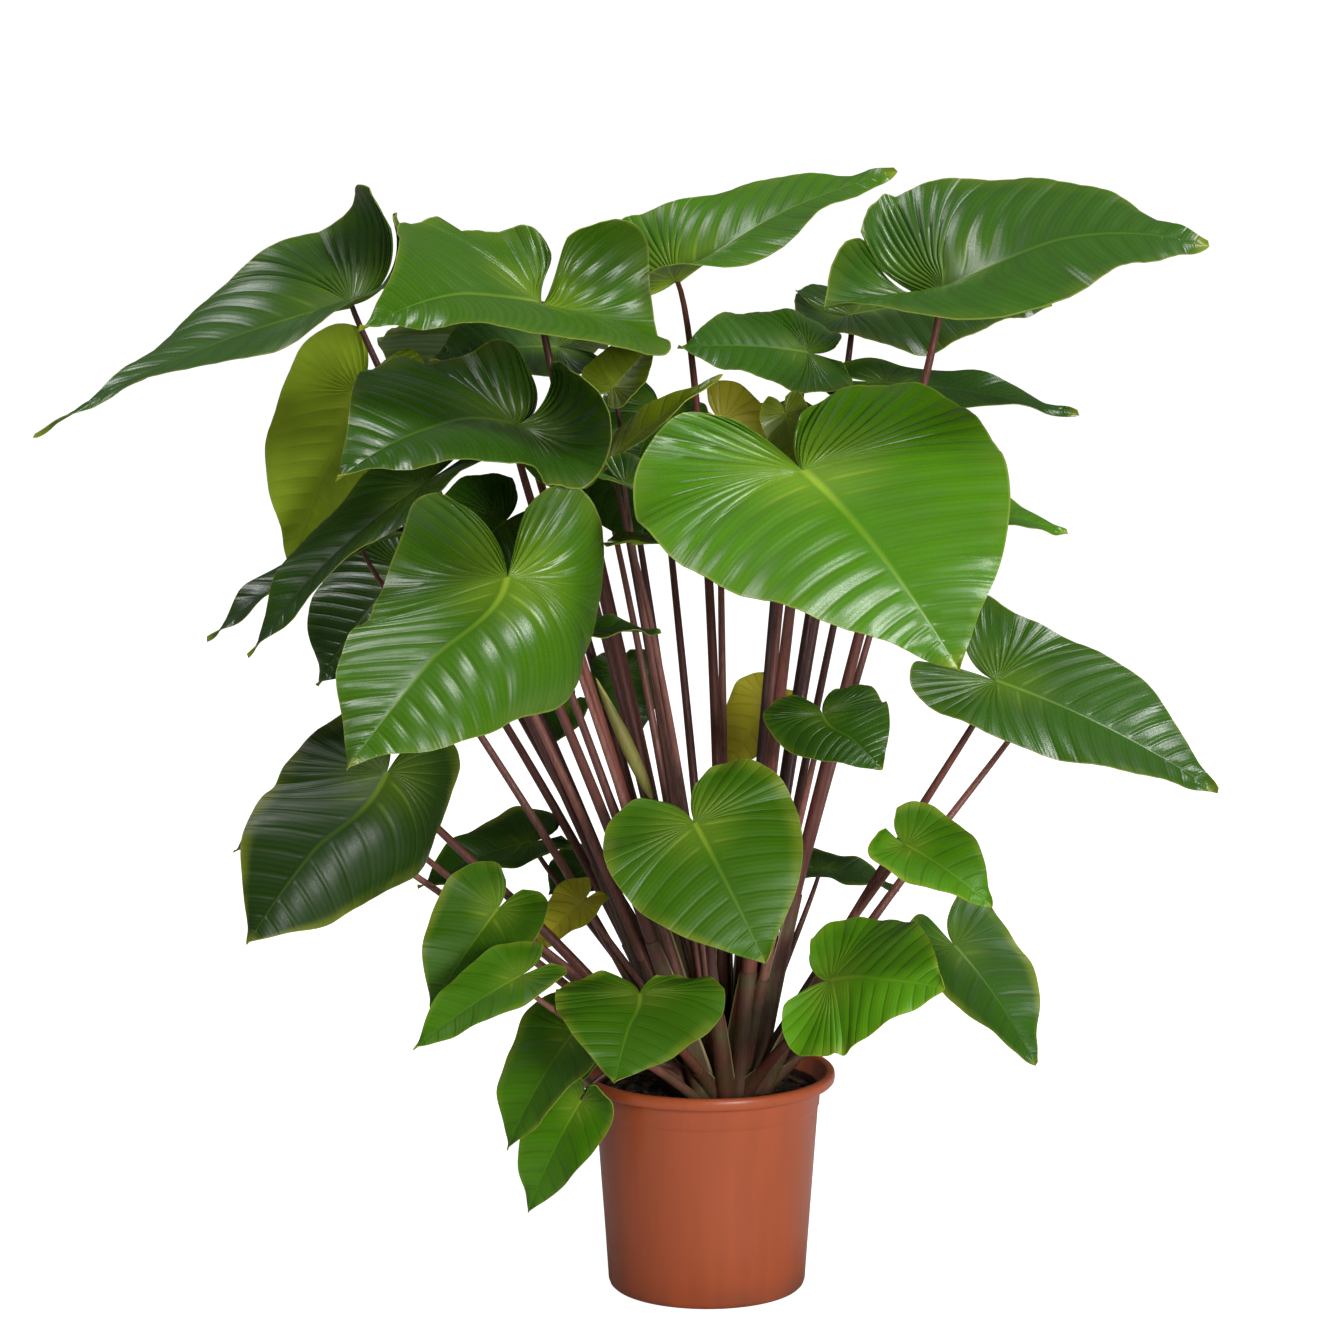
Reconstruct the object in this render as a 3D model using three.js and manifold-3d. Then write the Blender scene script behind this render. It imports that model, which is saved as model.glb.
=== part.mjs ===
// A potted homalomena: heart-shaped leaves on long reddish stalks that rise from one crown,
// in a plain plastic nursery pot filled with potting soil. Millimetres, +Z up.
// The origin is the middle of the pot's flat base. The plant's best side faces -Y.

import * as THREE from "three";
import Module from "manifold-3d";

const wasm = await Module();
wasm.setup();

// Pot: a blow-moulded container with an outward rolled lip
const POT_HEIGHT = 222;
const LIP_RADIUS = 128;
const LIP_INNER_RADIUS = 119.5;
const LIP_DEPTH = 13;
const BODY_TOP_RADIUS = 113;
const BASE_RADIUS = 98.5;
const BASE_ROUND = 7;
const STEP_HEIGHT = 186;
const STEP_SIZE = 1.2;
const WALL = 2.6;
const FLOOR = 4;
const DRAIN_COUNT = 8;
const DRAIN_RADIUS = 6;
const DRAIN_CIRCLE = 72;
const DRAIN_SIDES = 8;
const POT_SIDES = 36;

// Soil and the crown that stands in it
const SOIL_LEVEL = 199;
const SOIL_RELIEF = 3.5;
const CROWN_CENTRE = new THREE.Vector3(22, 0, 0);
const CROWN_RADIUS = 64;
const CROWN_DEPTH = 60;
const CROWN_DOME = 16;
const CROWN_SIDES = 24;
const GAP = 0.3;

// Stalks: wide clasping bases, slim tops
const STALK_SIDES = 5;
const STALK_STEPS = 7;
const STALK_BASE_RADIUS = 4.6;
const STALK_TOP_RADIUS = 1.6;
const STALK_BASE_GROWTH = 0.0115;
const STALK_TOP_GROWTH = 0.0055;
const STALK_SPREAD = 0.12;
const STALK_TAPER = 1.2;
const STALK_CROWDING = 1.35;
const STALK_SEAT = 0.5;
const STALK_DEPTH_SPREAD = 1.4;
const STALK_ROOTING = 10;
const STALK_RISE = 0.5;
const STALK_TURN = 0.5;
const STALK_LEAVE = 0.33;
const STALK_ARRIVE = 0.25;
const STALK_CROOK = 50;

// Blades: thickness, and the rows (along the veins) and columns (midrib to margin) of each half
const BLADE = 1.0;
const LARGE_BLADE = { rows: 8, columns: 3 };
const SMALL_BLADE = { rows: 6, columns: 2 };
const SMALL_WIDTH = 115;

// Half outline of a flat blade, for a length of 1 from the sinus to the tip, half width 1.
// It runs from the foot of the lobe round the margin to the tip.
const MARGIN = new THREE.CatmullRomCurve3(
  [
    [0.2, -0.24], [0.48, -0.31], [0.8, -0.24], [0.98, -0.04], [0.98, 0.19],
    [0.86, 0.43], [0.61, 0.66], [0.25, 0.86], [0, 1],
  ].map(([x, y]) => new THREE.Vector3(x, y, 0)),
  false,
  "catmullrom",
  0.5,
);
const VEIN_LAG = 0.14;
const LOBE_LENGTH = 0.3;
const TWIST_START = 0.3;
const TWIST_END = 0.8;
const LEAN_END = 0.5;
const LEAN_SPREAD = 0.3;
const UNFOLD_END = 0.5;
const TAPER_START = 0.3;
const TAPER_END = 0.85;

// Every leaf by hand: where its stalk meets the blade (the sinus), where its tip is, which way
// its upper face looks, its full width, and how the blade droops, folds, curls, twists and waves.
const LEAVES = [
  { name: "far_left", joint: [-355, 120, 975], tip: [-660, 0, 855], face: [-0.2, -0.35, 0.9],
    width: 210, droop: 24, lobe: [110, 120], fold: [30, 32], curl: [10, 8], twist: -15,
    point: 0.62, unfold: 26, wave: 4 },
  { name: "hanging_left", joint: [-349, 145, 885], tip: [-419, 115, 710],
    face: [-0.5, 0.8, 0.1], width: 158, tone: "olive", droop: 20, fold: 10, wave: 4 },
  { name: "top_left", joint: [-163, 0, 985], tip: [-325, -240, 980], face: [0, -0.35, 0.93],
    width: 268, tone: "fresh", droop: 36, lobe: [60, 192], fold: [34, -6], curl: [26, 8],
    lean: [8, 52], point: 0.7, wave: 6 },
  { name: "dark_left", joint: [-190, -60, 875], tip: [-345, -270, 845],
    face: [0, -0.35, 0.93], width: 265, droop: 40, lobe: [90, 215], fold: [20, 8],
    curl: [20, 34], lean: [0, -20], point: 0.35, wave: 6 },
  { name: "front_left", joint: [-190, -200, 745], tip: [-330, -380, 595],
    face: [-0.3, -0.6, 0.75], width: 251, tone: "fresh", droop: 28, lobe: [110, 120],
    fold: [0, -10], curl: [4, 92], sway: -8, lean: 24, wave: 5 },
  { name: "low_left", joint: [-308, -150, 550], tip: [-436, -240, 402],
    face: [-0.2, -0.75, 0.6], width: 208, droop: 30, lobe: [20, 20], fold: [0, -20],
    curl: [10, 85], lean: 22, wave: 5, bend: [-12, 30, 0] },
  { name: "behind_low_left", joint: [-371, -60, 497], tip: [-462, -90, 460],
    face: [-0.2, -0.4, 0.9], width: 90, tone: "fresh", droop: 20, fold: 8, wave: 3 },
  { name: "glossy_left", joint: [-280, -20, 810], tip: [-445, -80, 650],
    face: [-0.5, -0.4, 0.75], width: 120, droop: 26, fold: 12, wave: 5 },
  { name: "tip_left", joint: [-345, 60, 740], tip: [-495, 20, 650], face: [-0.4, -0.2, 0.9],
    width: 90, droop: 26, fold: 12, wave: 5, bend: [0, -30, 0] },
  { name: "ragged_left", joint: [-305, 175, 700], tip: [-395, 140, 585],
    face: [-0.3, -0.6, 0.6], width: 160, droop: 30, fold: 8, wave: 7, bend: [10, -30, 0] },
  { name: "top_middle", joint: [-30, 158, 996], tip: [190, 132, 1111], face: [0, -0.25, 0.97],
    width: 180, tone: "fresh", droop: 24, lobe: [40, 60], fold: [32, 50], curl: [10, 14],
    lean: -6, unfold: 34, wave: 6, bend: [12, -65, 0] },
  { name: "top_right", joint: [225, -30, 1000], tip: [480, -60, 1046], face: [0, -0.34, 0.94],
    width: 262, droop: 58, lobe: [125, 100], fold: [25, 36], curl: [8, 8], lean: [-42, 0],
    point: 0, unfold: 28, wave: 6 },
  { name: "under_top_right", joint: [148, 185, 959], tip: [348, 155, 971],
    face: [0, -0.3, 0.95], width: 198, droop: 20, lobe: [70, 40], fold: [24, 10], curl: 30,
    unfold: 24, wave: 4, bend: [0, -15, 0] },
  { name: "dark_mid", joint: [98, 36, 935], tip: [-30, 8, 942], face: [0, -0.55, 0.85],
    width: 140, droop: 20, fold: 8, curl: [24, 8], wave: 4 },
  { name: "right_mid", joint: [175, 40, 905], tip: [365, 20, 875], face: [0.1, -0.35, 0.93],
    width: 84, droop: 14, fold: 8, curl: 10, wave: 5, bend: [0, 20, 0] },
  { name: "front_right", joint: [90, -150, 840], tip: [225, -370, 685],
    face: [-0.1, -0.6, 0.8], width: 350, tone: "fresh", droop: 34, lobe: [70, 20],
    fold: [20, 2], curl: [30, 8], wave: 5, bend: [0, 15, 0] },
  { name: "tip_right", joint: [195, 60, 775], tip: [360, 75, 750], face: [0.2, -0.3, 0.9],
    width: 110, tone: "fresh", droop: 30, fold: 8, wave: 3 },
  { name: "right", joint: [280, -80, 627], tip: [488, -150, 530], face: [0.35, -0.75, 0.5],
    width: 165, droop: 26, lobe: [20, 100], fold: [26, 5], curl: [20, 10], wave: 5 },
  { name: "small_heart", joint: [110, -110, 600], tip: [166, -160, 555], face: [0, -0.7, 0.7],
    width: 117, droop: 20, fold: 14, curl: 10, lean: -27, wave: 3 },
  { name: "right_low", joint: [192, -110, 471], tip: [272, -165, 422],
    face: [0.2, -0.75, 0.6], width: 103, tone: "fresh", droop: 26, lobe: [120, 60],
    fold: [20, 6], wave: 4, bend: [0, 55, 0] },
  { name: "edge_right", joint: [115, 75, 410], tip: [195, 80, 385], face: [0.1, -0.3, 0.95],
    width: 60, droop: 26, fold: 8, wave: 3 },
  { name: "low_right", joint: [120, -120, 340], tip: [225, -200, 350],
    face: [-0.1, -0.5, 0.85], width: 185, tone: "fresh", droop: 20, lobe: [40, 70],
    fold: [-12, 6], curl: [10, 10], lean: [16, 4], wave: 4 },
  { name: "lowest_right", joint: [245, -30, 353], tip: [322, -80, 244],
    face: [0.5, -0.7, 0.5], width: 112, droop: 26, lobe: [40, 60], fold: [6, 20], wave: 4 },
  { name: "front_mid", joint: [-13, -190, 508], tip: [53, -250, 386], face: [0.0, -0.85, 0.5],
    width: 190, tone: "fresh", droop: 26, fold: 8, curl: 16, wave: 4 },
  { name: "front_low", joint: [-66, -150, 333], tip: [-90, -230, 265],
    face: [0.0, -0.75, 0.65], width: 165, tone: "fresh", droop: 50, fold: 8, curl: 16, lean: 15,
    wave: 4 },
  { name: "low_heart_left", joint: [-204, -110, 408], tip: [-269, -140, 316],
    face: [-0.1, -0.8, 0.55], width: 110, tone: "fresh", droop: 20, fold: 14, wave: 4 },
  { name: "low_tip_left", joint: [-180, -190, 360], tip: [-280, -240, 300],
    face: [-0.2, -0.6, 0.75], width: 80, tone: "fresh", droop: 20, fold: 12, wave: 3,
    bend: [-12, -30, 0] },
  { name: "pale_low_left", joint: [-130, -80, 279], tip: [-196, -120, 169],
    face: [-0.5, -0.6, 0.6], width: 112, tone: "fresh", droop: 26, fold: 12, wave: 4 },
  { name: "lowest_left", joint: [-124, -78, 209], tip: [-177, -84, 96],
    face: [-0.4, -0.8, 0.4], width: 92, tone: "fresh", droop: 26, lobe: 120, fold: 10, wave: 3,
    leave: [-0.35, -0.2, 1], arrive: [-0.5, -0.3, -0.9], bend: [0, 0, 15] },
  { name: "rim_leaf", joint: [-110, -20, 250], tip: [-135, -55, 215], face: [-0.2, -0.3, 0.9],
    width: 50, droop: 20, fold: 8, wave: 2 },
  { name: "glossy_behind_left", joint: [-177, 70, 438], tip: [-291, 60, 392],
    face: [-0.1, -0.3, 0.95], width: 110, droop: 26, fold: 10, wave: 4 },
  { name: "small_behind_left", joint: [-120, 100, 405], tip: [-160, 85, 380],
    face: [0.0, -0.5, 0.85], width: 75, droop: 20, fold: 10, wave: 3 },
  { name: "yellow_low_left", joint: [-124, -15, 395], tip: [-172, -30, 347],
    face: [-0.3, -0.6, 0.7], width: 60, tone: "yellow", droop: 20, fold: 12, wave: 3 },
  { name: "yellow_mid", joint: [65, 130, 570], tip: [20, 115, 505], face: [-0.1, -0.7, 0.7],
    width: 80, tone: "yellow", droop: 20, fold: 10, wave: 4, bend: [-10, -15, 0] },
  { name: "behind_mid_left", joint: [-85, 80, 610], tip: [-70, 60, 545],
    face: [0.1, -0.7, 0.7], width: 70, droop: 20, fold: 10, wave: 4 },
  { name: "edge_mid_left", joint: [-135, -125, 680], tip: [-45, -115, 680],
    face: [0.1, -0.1, 1.0], width: 70, droop: 20, fold: 8, wave: 3 },
  { name: "folded_mid", joint: [-80, -115, 825], tip: [-5, -130, 790], face: [0.3, -0.5, 0.8],
    width: 60, droop: 10, fold: 30, wave: 2, bend: [0, 15, 0] },
  { name: "upper_small", joint: [-93, 22, 902], tip: [-52, 42, 944], face: [-0.3, -0.7, 0.5],
    width: 70, tone: "olive", droop: 10, fold: 20, wave: 2 },
  { name: "upper_dark", joint: [-50, 125, 870], tip: [-75, 95, 805], face: [0.0, -0.8, 0.5],
    width: 110, droop: 20, fold: 8, wave: 4 },
  { name: "yellow_top", joint: [15, 150, 855], tip: [95, 135, 770], face: [0.1, -0.7, 0.7],
    width: 90, tone: "yellow", droop: 20, fold: 10, wave: 3, bend: [0, -15, 0] },
  { name: "edge_top", joint: [-95, -45, 840], tip: [15, -25, 920], face: [-0.3, -0.3, 0.9],
    width: 60, tone: "olive", droop: 10, fold: 14, wave: 2, bend: [0, -15, 0] },
  { name: "olive_top", joint: [75, -37, 883], tip: [90, -52, 823], face: [-0.3, -0.8, 0.4],
    width: 50, tone: "olive", droop: 16, fold: 14, wave: 3 },
  { name: "under_top_left", joint: [-150, 95, 935], tip: [-275, 50, 925],
    face: [0.0, -0.5, 0.85], width: 130, droop: 20, fold: 8, wave: 4 },
  { name: "behind_front_left", joint: [-197, -60, 780], tip: [-280, -90, 700],
    face: [-0.2, -0.7, 0.6], width: 130, droop: 20, fold: 8, wave: 4, bend: [0, 15, 0] },
  { name: "pale_mid_left", joint: [-137, 80, 577], tip: [-167, 90, 533],
    face: [-0.1, -0.7, 0.6], width: 50, droop: 20, fold: 10, wave: 2 },
  { name: "back_upper_left", joint: [-210, 200, 935], tip: [-295, 400, 845],
    face: [-0.1, 0.6, 0.8], width: 230, droop: 30, lobe: 40, fold: 6, curl: 16, wave: 5 },
  { name: "back_upper_right", joint: [145, 230, 835], tip: [205, 450, 720],
    face: [0.1, 0.6, 0.8], width: 240, droop: 30, lobe: 40, fold: 6, curl: 16, wave: 5,
    bend: [0, 0, 0] },
  { name: "back_left", joint: [-275, 290, 675], tip: [-335, 470, 565],
    face: [-0.3, 0.6, 0.75], width: 200, droop: 30, lobe: 40, fold: 8, curl: 12, wave: 5,
    base: [-5, 38], bend: [0, 15, 0] },
  { name: "back_middle", joint: [40, 175, 395], tip: [15, 340, 310], face: [0, 0.6, 0.8],
    width: 160, droop: 30, lobe: 30, fold: 8, curl: 12, wave: 4 },
  { name: "back_right", joint: [335, 110, 580], tip: [415, 260, 515], face: [0.3, 0.5, 0.8],
    width: 118, droop: 30, lobe: 30, fold: 8, curl: 12, wave: 4 },
  { name: "back_low_left", joint: [-340, 60, 480], tip: [-385, 230, 395],
    face: [-0.3, 0.5, 0.8], width: 118, droop: 30, lobe: 30, fold: 8, curl: 12, wave: 4,
    bend: [0, -25, 0] },
  { name: "back_low", joint: [145, 110, 260], tip: [180, 230, 220], face: [0.1, 0.5, 0.8],
    width: 105, droop: 30, lobe: 30, fold: 8, curl: 12, wave: 3 },
  { name: "folded_low", joint: [-110, 20, 830], tip: [-45, 0, 750], face: [-0.6, -0.7, 0.3],
    width: 84, droop: 16, fold: 24, wave: 3 },
  { name: "edge_front", joint: [-75, -130, 770], tip: [0, -140, 765], face: [0, -0.1, 1],
    width: 44, tone: "olive", droop: 20, fold: 12, wave: 2, bend: [12, 15, 0] },
  { name: "dark_under", joint: [-150, 60, 845], tip: [-105, 45, 790], face: [0.1, -0.8, 0.5],
    width: 92, droop: 20, fold: 8, wave: 3, bend: [0, -15, 0] },
];

// The youngest leaf, still rolled into a spindle
const YOUNG_LEAF = { joint: [-54, -30, 500], tip: [-110, -25, 622], radius: 7.5 };
const YOUNG_LEAF_STALK = {
  joint: [-54, -30, 500],
  tip: [-53, -120, 501],
  face: [-0.41, -0.04, 0.91],
  width: 60,
};
const YOUNG_SIDES = 10;
const YOUNG_STEPS = 8;
const YOUNG_FOOT = 0.3;
const YOUNG_BELLY = 0.75;
const YOUNG_FULLNESS = 0.7;

const LEAF_COLOURS = { fresh: "#4f8a1e", deep: "#2f5a20", olive: "#6d7a2a", yellow: "#a9a53a" };

// Point of the flat half blade: row along the margin from 0 to 1, column from midrib to margin
function flatPoint(row, column) {
  const margin = MARGIN.getPoint(row);
  const start = Math.max(0, (margin.y - VEIN_LAG) / (1 - VEIN_LAG));
  const open = THREE.MathUtils.smoothstep(row, 0, 0.35);
  const bendX = THREE.MathUtils.lerp(0.1, 0.55, open) * margin.x;
  const bendY = start + THREE.MathUtils.lerp(0.65, 0.35, open) * (margin.y - start);
  const a = (1 - column) * (1 - column);
  const b = 2 * column * (1 - column);
  const c = column * column;
  return [b * bendX + c * margin.x, a * start + b * bendY + c * margin.y];
}

// Side and rise of a cross-section at r of its half width, which leaves the midrib at the fold
// angle and turns down by the curl angle towards the margin
function crossSection(r, fold, curl) {
  if (Math.abs(curl) < 1e-6) {
    return [r * Math.cos(fold), r * Math.sin(fold)];
  }
  const end = fold - curl * r;
  return [(Math.sin(fold) - Math.sin(end)) / curl, (Math.cos(end) - Math.cos(fold)) / curl];
}

// An angle of a leaf, given once or as [right half, left half], in radians for each half
function bothSides(value = 0) {
  const pair = Array.isArray(value) ? value : [value, value];
  return pair.map((angle) => THREE.MathUtils.degToRad(angle));
}

// A function that bends a point of the flat blade into the leaf's place
function bladeSurface(leaf) {
  const degrees = THREE.MathUtils.degToRad;
  const joint = new THREE.Vector3(...leaf.joint);
  const along = new THREE.Vector3(...leaf.tip).sub(joint);
  const length = along.length();
  along.normalize();
  const face = new THREE.Vector3(...leaf.face);
  face.addScaledVector(along, -face.dot(along)).normalize();
  const side = new THREE.Vector3().crossVectors(along, face);
  const droop = degrees(leaf.droop ?? 0);
  const fold = bothSides(leaf.fold);
  const curl = bothSides(leaf.curl);
  const lobe = bothSides(leaf.lobe);
  const twist = degrees(leaf.twist ?? 0);
  const sway = leaf.sway ?? 0;
  const lean = bothSides(leaf.lean);
  const point = leaf.point ?? 0;
  const unfold = degrees(leaf.unfold ?? 0);
  const half = leaf.width / 2;
  const chord = droop > 0 ? (2 * Math.sin(droop / 2)) / droop : 1;
  const arc = length / chord;
  return (x, y, row, column) => {
    let ahead;
    let up;
    let angle;
    const hand = x < 0 ? 1 : 0;
    if (y >= 0) {
      angle = droop / 2 - droop * y;
      ahead = droop > 0 ? (arc * (Math.sin(droop / 2) - Math.sin(angle))) / droop : arc * y;
      up = droop > 0 ? (arc * (Math.cos(angle) - Math.cos(droop / 2))) / droop : 0;
    } else {
      angle = droop / 2 - (lobe[hand] * Math.min(1, -y / LOBE_LENGTH)) / 2;
      ahead = arc * y * Math.cos(angle);
      up = arc * y * Math.sin(angle);
    }
    const open = fold[hand] - unfold * THREE.MathUtils.smoothstep(y, 0, UNFOLD_END);
    const [across, rise] = crossSection(Math.abs(x), open, curl[hand]);
    const wave = (leaf.wave ?? 0) * column * column
      * Math.sin(2 * Math.PI * (leaf.waves ?? 3) * row + (leaf.phase ?? 0) + (x < 0 ? 1.7 : 0));
    const turn = twist * THREE.MathUtils.smoothstep(y, TWIST_START, TWIST_END);
    const bow = 4 * sway * y * (1 - Math.max(0, y));
    const shared = (lean[0] + lean[1]) / 2;
    const apart = THREE.MathUtils.smoothstep(Math.abs(x), 0, LEAN_SPREAD);
    const leaning = shared + (lean[hand] - shared) * apart;
    const skew = leaning * (1 - THREE.MathUtils.smoothstep(y, 0, LEAN_END));
    const taper = 1 - point * THREE.MathUtils.smoothstep(y, TAPER_START, TAPER_END);
    const out = Math.sign(x) * across * half * taper;
    const sideways = out * Math.cos(skew) - ahead * Math.sin(skew);
    ahead = out * Math.sin(skew) + ahead * Math.cos(skew);
    const lift = rise * half + wave;
    const u = sideways * Math.cos(turn) - lift * Math.sin(turn);
    const v = sideways * Math.sin(turn) + lift * Math.cos(turn);
    return joint.clone()
      .addScaledVector(along, ahead - v * Math.sin(angle))
      .addScaledVector(face, up + v * Math.cos(angle))
      .addScaledVector(side, u + bow);
  };
}

// The blade's middle surface as shared points and triangles, both halves in one
function bladeSheet(leaf) {
  const surface = bladeSurface(leaf);
  const { rows, columns } = leaf.width > SMALL_WIDTH ? LARGE_BLADE : SMALL_BLADE;
  const points = [];
  const triangles = [];
  const seen = new Map();
  const corner = (half, row, column) => {
    const [x, y] = flatPoint(row / rows, column / columns);
    const key = `${Math.round(half * x * 1e5)} ${Math.round(y * 1e5)}`;
    if (!seen.has(key)) {
      seen.set(key, points.length);
      points.push(surface(half * x, y, row / rows, column / columns));
    }
    return seen.get(key);
  };
  const add = (a, b, c) => {
    if (a !== b && b !== c && a !== c) {
      triangles.push([a, b, c]);
    }
  };
  for (const half of [1, -1]) {
    for (let row = 0; row < rows; row += 1) {
      for (let column = 0; column < columns; column += 1) {
        const a = corner(half, row, column);
        const b = corner(half, row, column + 1);
        const c = corner(half, row + 1, column + 1);
        const d = corner(half, row + 1, column);
        if (half > 0) {
          add(a, b, c);
          add(a, c, d);
        } else {
          add(a, c, b);
          add(a, d, c);
        }
      }
    }
  }
  return { points, triangles };
}

// A closed shell of even thickness round a sheet: its two faces have the same triangles
function thicken({ points, triangles }, thickness) {
  const normals = points.map(() => new THREE.Vector3());
  const edges = new Map();
  for (const [a, b, c] of triangles) {
    const ab = new THREE.Vector3().subVectors(points[b], points[a]);
    const ac = new THREE.Vector3().subVectors(points[c], points[a]);
    const normal = new THREE.Vector3().crossVectors(ab, ac);
    for (const p of [a, b, c]) {
      normals[p].add(normal);
    }
    for (const [p, q] of [[a, b], [b, c], [c, a]]) {
      edges.set(`${p} ${q}`, [p, q]);
    }
  }
  const count = points.length;
  const positions = [];
  for (const sign of [0.5, -0.5]) {
    points.forEach((point, i) => {
      const moved = point.clone().addScaledVector(normals[i].clone().normalize(), sign * thickness);
      positions.push(moved.x, moved.y, moved.z);
    });
  }
  const index = [];
  for (const [a, b, c] of triangles) {
    index.push(a, b, c, a + count, c + count, b + count);
  }
  for (const [p, q] of edges.values()) {
    if (!edges.has(`${q} ${p}`)) {
      index.push(p, p + count, q + count, p, q + count, q);
    }
  }
  return geometryOf(positions, index);
}

function geometryOf(positions, index) {
  const geometry = new THREE.BufferGeometry();
  geometry.setAttribute("position", new THREE.Float32BufferAttribute(positions, 3));
  geometry.setIndex(index);
  return geometry;
}

function solidOf(geometry) {
  return new wasm.Manifold(
    new wasm.Mesh({
      numProp: 3,
      vertProperties: new Float32Array(geometry.attributes.position.array),
      triVerts: new Uint32Array(geometry.index.array),
    }),
  );
}

function geometryOfSolid(solid) {
  const mesh = solid.getMesh();
  return geometryOf(Array.from(mesh.vertProperties), Array.from(mesh.triVerts));
}

// A closed shape turned round the z axis from a profile of [radius, height] points, which
// starts and ends on the axis; each point of a ring may be lifted by the relief
function turned(profile, sides, relief = () => 0) {
  const positions = [];
  const rings = profile.map(([radius, height]) => {
    const start = positions.length / 3;
    const count = radius === 0 ? 1 : sides;
    for (let i = 0; i < count; i += 1) {
      const angle = (2 * Math.PI * i) / sides;
      const x = radius * Math.cos(angle);
      const y = radius * Math.sin(angle);
      positions.push(x, y, height + relief(x, y, height));
    }
    return { start, count };
  });
  const index = [];
  for (let k = 0; k + 1 < rings.length; k += 1) {
    const low = rings[k];
    const high = rings[k + 1];
    for (let i = 0; i < sides; i += 1) {
      const j = (i + 1) % sides;
      const a = low.start + (low.count === 1 ? 0 : i);
      const b = low.start + (low.count === 1 ? 0 : j);
      const c = high.start + (high.count === 1 ? 0 : j);
      const d = high.start + (high.count === 1 ? 0 : i);
      if (a !== b) {
        index.push(a, b, c);
      }
      if (c !== d) {
        index.push(a, c, d);
      }
    }
  }
  return geometryOf(positions, index);
}

function bodyRadius(height) {
  const step = height > STEP_HEIGHT ? STEP_SIZE : 0;
  return BASE_RADIUS + ((BODY_TOP_RADIUS - BASE_RADIUS) * height) / (POT_HEIGHT - LIP_DEPTH) + step;
}

function makePot() {
  const lipFoot = POT_HEIGHT - LIP_DEPTH;
  const profile = [
    [0, 0],
    [BASE_RADIUS - BASE_ROUND, 0],
    [BASE_RADIUS - BASE_ROUND * 0.3, BASE_ROUND * 0.3],
    [bodyRadius(BASE_ROUND), BASE_ROUND],
    [bodyRadius(STEP_HEIGHT), STEP_HEIGHT],
    [bodyRadius(STEP_HEIGHT + STEP_SIZE), STEP_HEIGHT + STEP_SIZE],
    [bodyRadius(lipFoot), lipFoot],
    [LIP_RADIUS - 2, lipFoot],
    [LIP_RADIUS, lipFoot + 3],
    [LIP_RADIUS, POT_HEIGHT - 3],
    [LIP_RADIUS - 3, POT_HEIGHT],
    [LIP_INNER_RADIUS + 1, POT_HEIGHT],
    [LIP_INNER_RADIUS - 1, POT_HEIGHT - 3],
    [bodyRadius(lipFoot) - WALL, lipFoot - 4],
    [bodyRadius(FLOOR) - WALL - 3, FLOOR],
    [0, FLOOR],
  ];
  let pot = solidOf(turned(profile, POT_SIDES));
  for (let i = 0; i < DRAIN_COUNT; i += 1) {
    const angle = (2 * Math.PI * i) / DRAIN_COUNT;
    const drill = [[0, -2], [DRAIN_RADIUS, -2], [DRAIN_RADIUS, FLOOR + 2], [0, FLOOR + 2]];
    const hole = turned(drill, DRAIN_SIDES);
    hole.translate(DRAIN_CIRCLE * Math.cos(angle), DRAIN_CIRCLE * Math.sin(angle), 0);
    pot = pot.subtract(solidOf(hole));
  }
  return geometryOfSolid(pot);
}

function soilRelief(x, y) {
  return SOIL_RELIEF * (Math.sin(x / 19 + 1) * Math.cos(y / 23) + 0.5 * Math.sin(x / 8 - y / 11));
}

function makeSoil() {
  const inside = (height) => bodyRadius(FLOOR) - WALL - 3 - GAP
    + ((BODY_TOP_RADIUS - BASE_RADIUS) * (height - FLOOR)) / (POT_HEIGHT - LIP_DEPTH);
  const edge = inside(SOIL_LEVEL);
  const profile = [
    [0, FLOOR + GAP],
    [inside(FLOOR) - 1, FLOOR + GAP],
    [edge, SOIL_LEVEL],
    [edge - 8, SOIL_LEVEL],
    [edge - 24, SOIL_LEVEL],
    [edge - 42, SOIL_LEVEL],
    [0, SOIL_LEVEL],
  ];
  const lifted = (x, y, height) => {
    const radius = Math.hypot(x, y);
    return height < SOIL_LEVEL || radius > edge - 4 ? 0 : soilRelief(x, y);
  };
  const soil = solidOf(turned(profile, POT_SIDES, lifted));
  const hole = turned(
    [
      [0, SOIL_LEVEL - CROWN_DEPTH],
      [CROWN_RADIUS, SOIL_LEVEL - CROWN_DEPTH],
      [CROWN_RADIUS, SOIL_LEVEL + 30],
      [0, SOIL_LEVEL + 30],
    ],
    CROWN_SIDES,
  );
  hole.translate(CROWN_CENTRE.x, CROWN_CENTRE.y, 0);
  return geometryOfSolid(soil.subtract(solidOf(hole)));
}

function makeCrown() {
  const radius = CROWN_RADIUS - GAP;
  const foot = SOIL_LEVEL - CROWN_DEPTH + GAP;
  const crown = turned(
    [
      [0, foot],
      [radius, foot],
      [radius, SOIL_LEVEL - 6],
      [radius * 0.8, SOIL_LEVEL + CROWN_DOME * 0.5],
      [radius * 0.4, SOIL_LEVEL + CROWN_DOME],
      [0, SOIL_LEVEL + CROWN_DOME],
    ],
    CROWN_SIDES,
  );
  crown.translate(CROWN_CENTRE.x, CROWN_CENTRE.y, 0);
  return solidOf(crown);
}

// Radius at the foot and under the blade: the wider the leaf, the stouter its stalk
function stalkRadii(leaf) {
  return [
    STALK_BASE_RADIUS + STALK_BASE_GROWTH * leaf.width,
    STALK_TOP_RADIUS + STALK_TOP_GROWTH * leaf.width,
  ];
}

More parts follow.
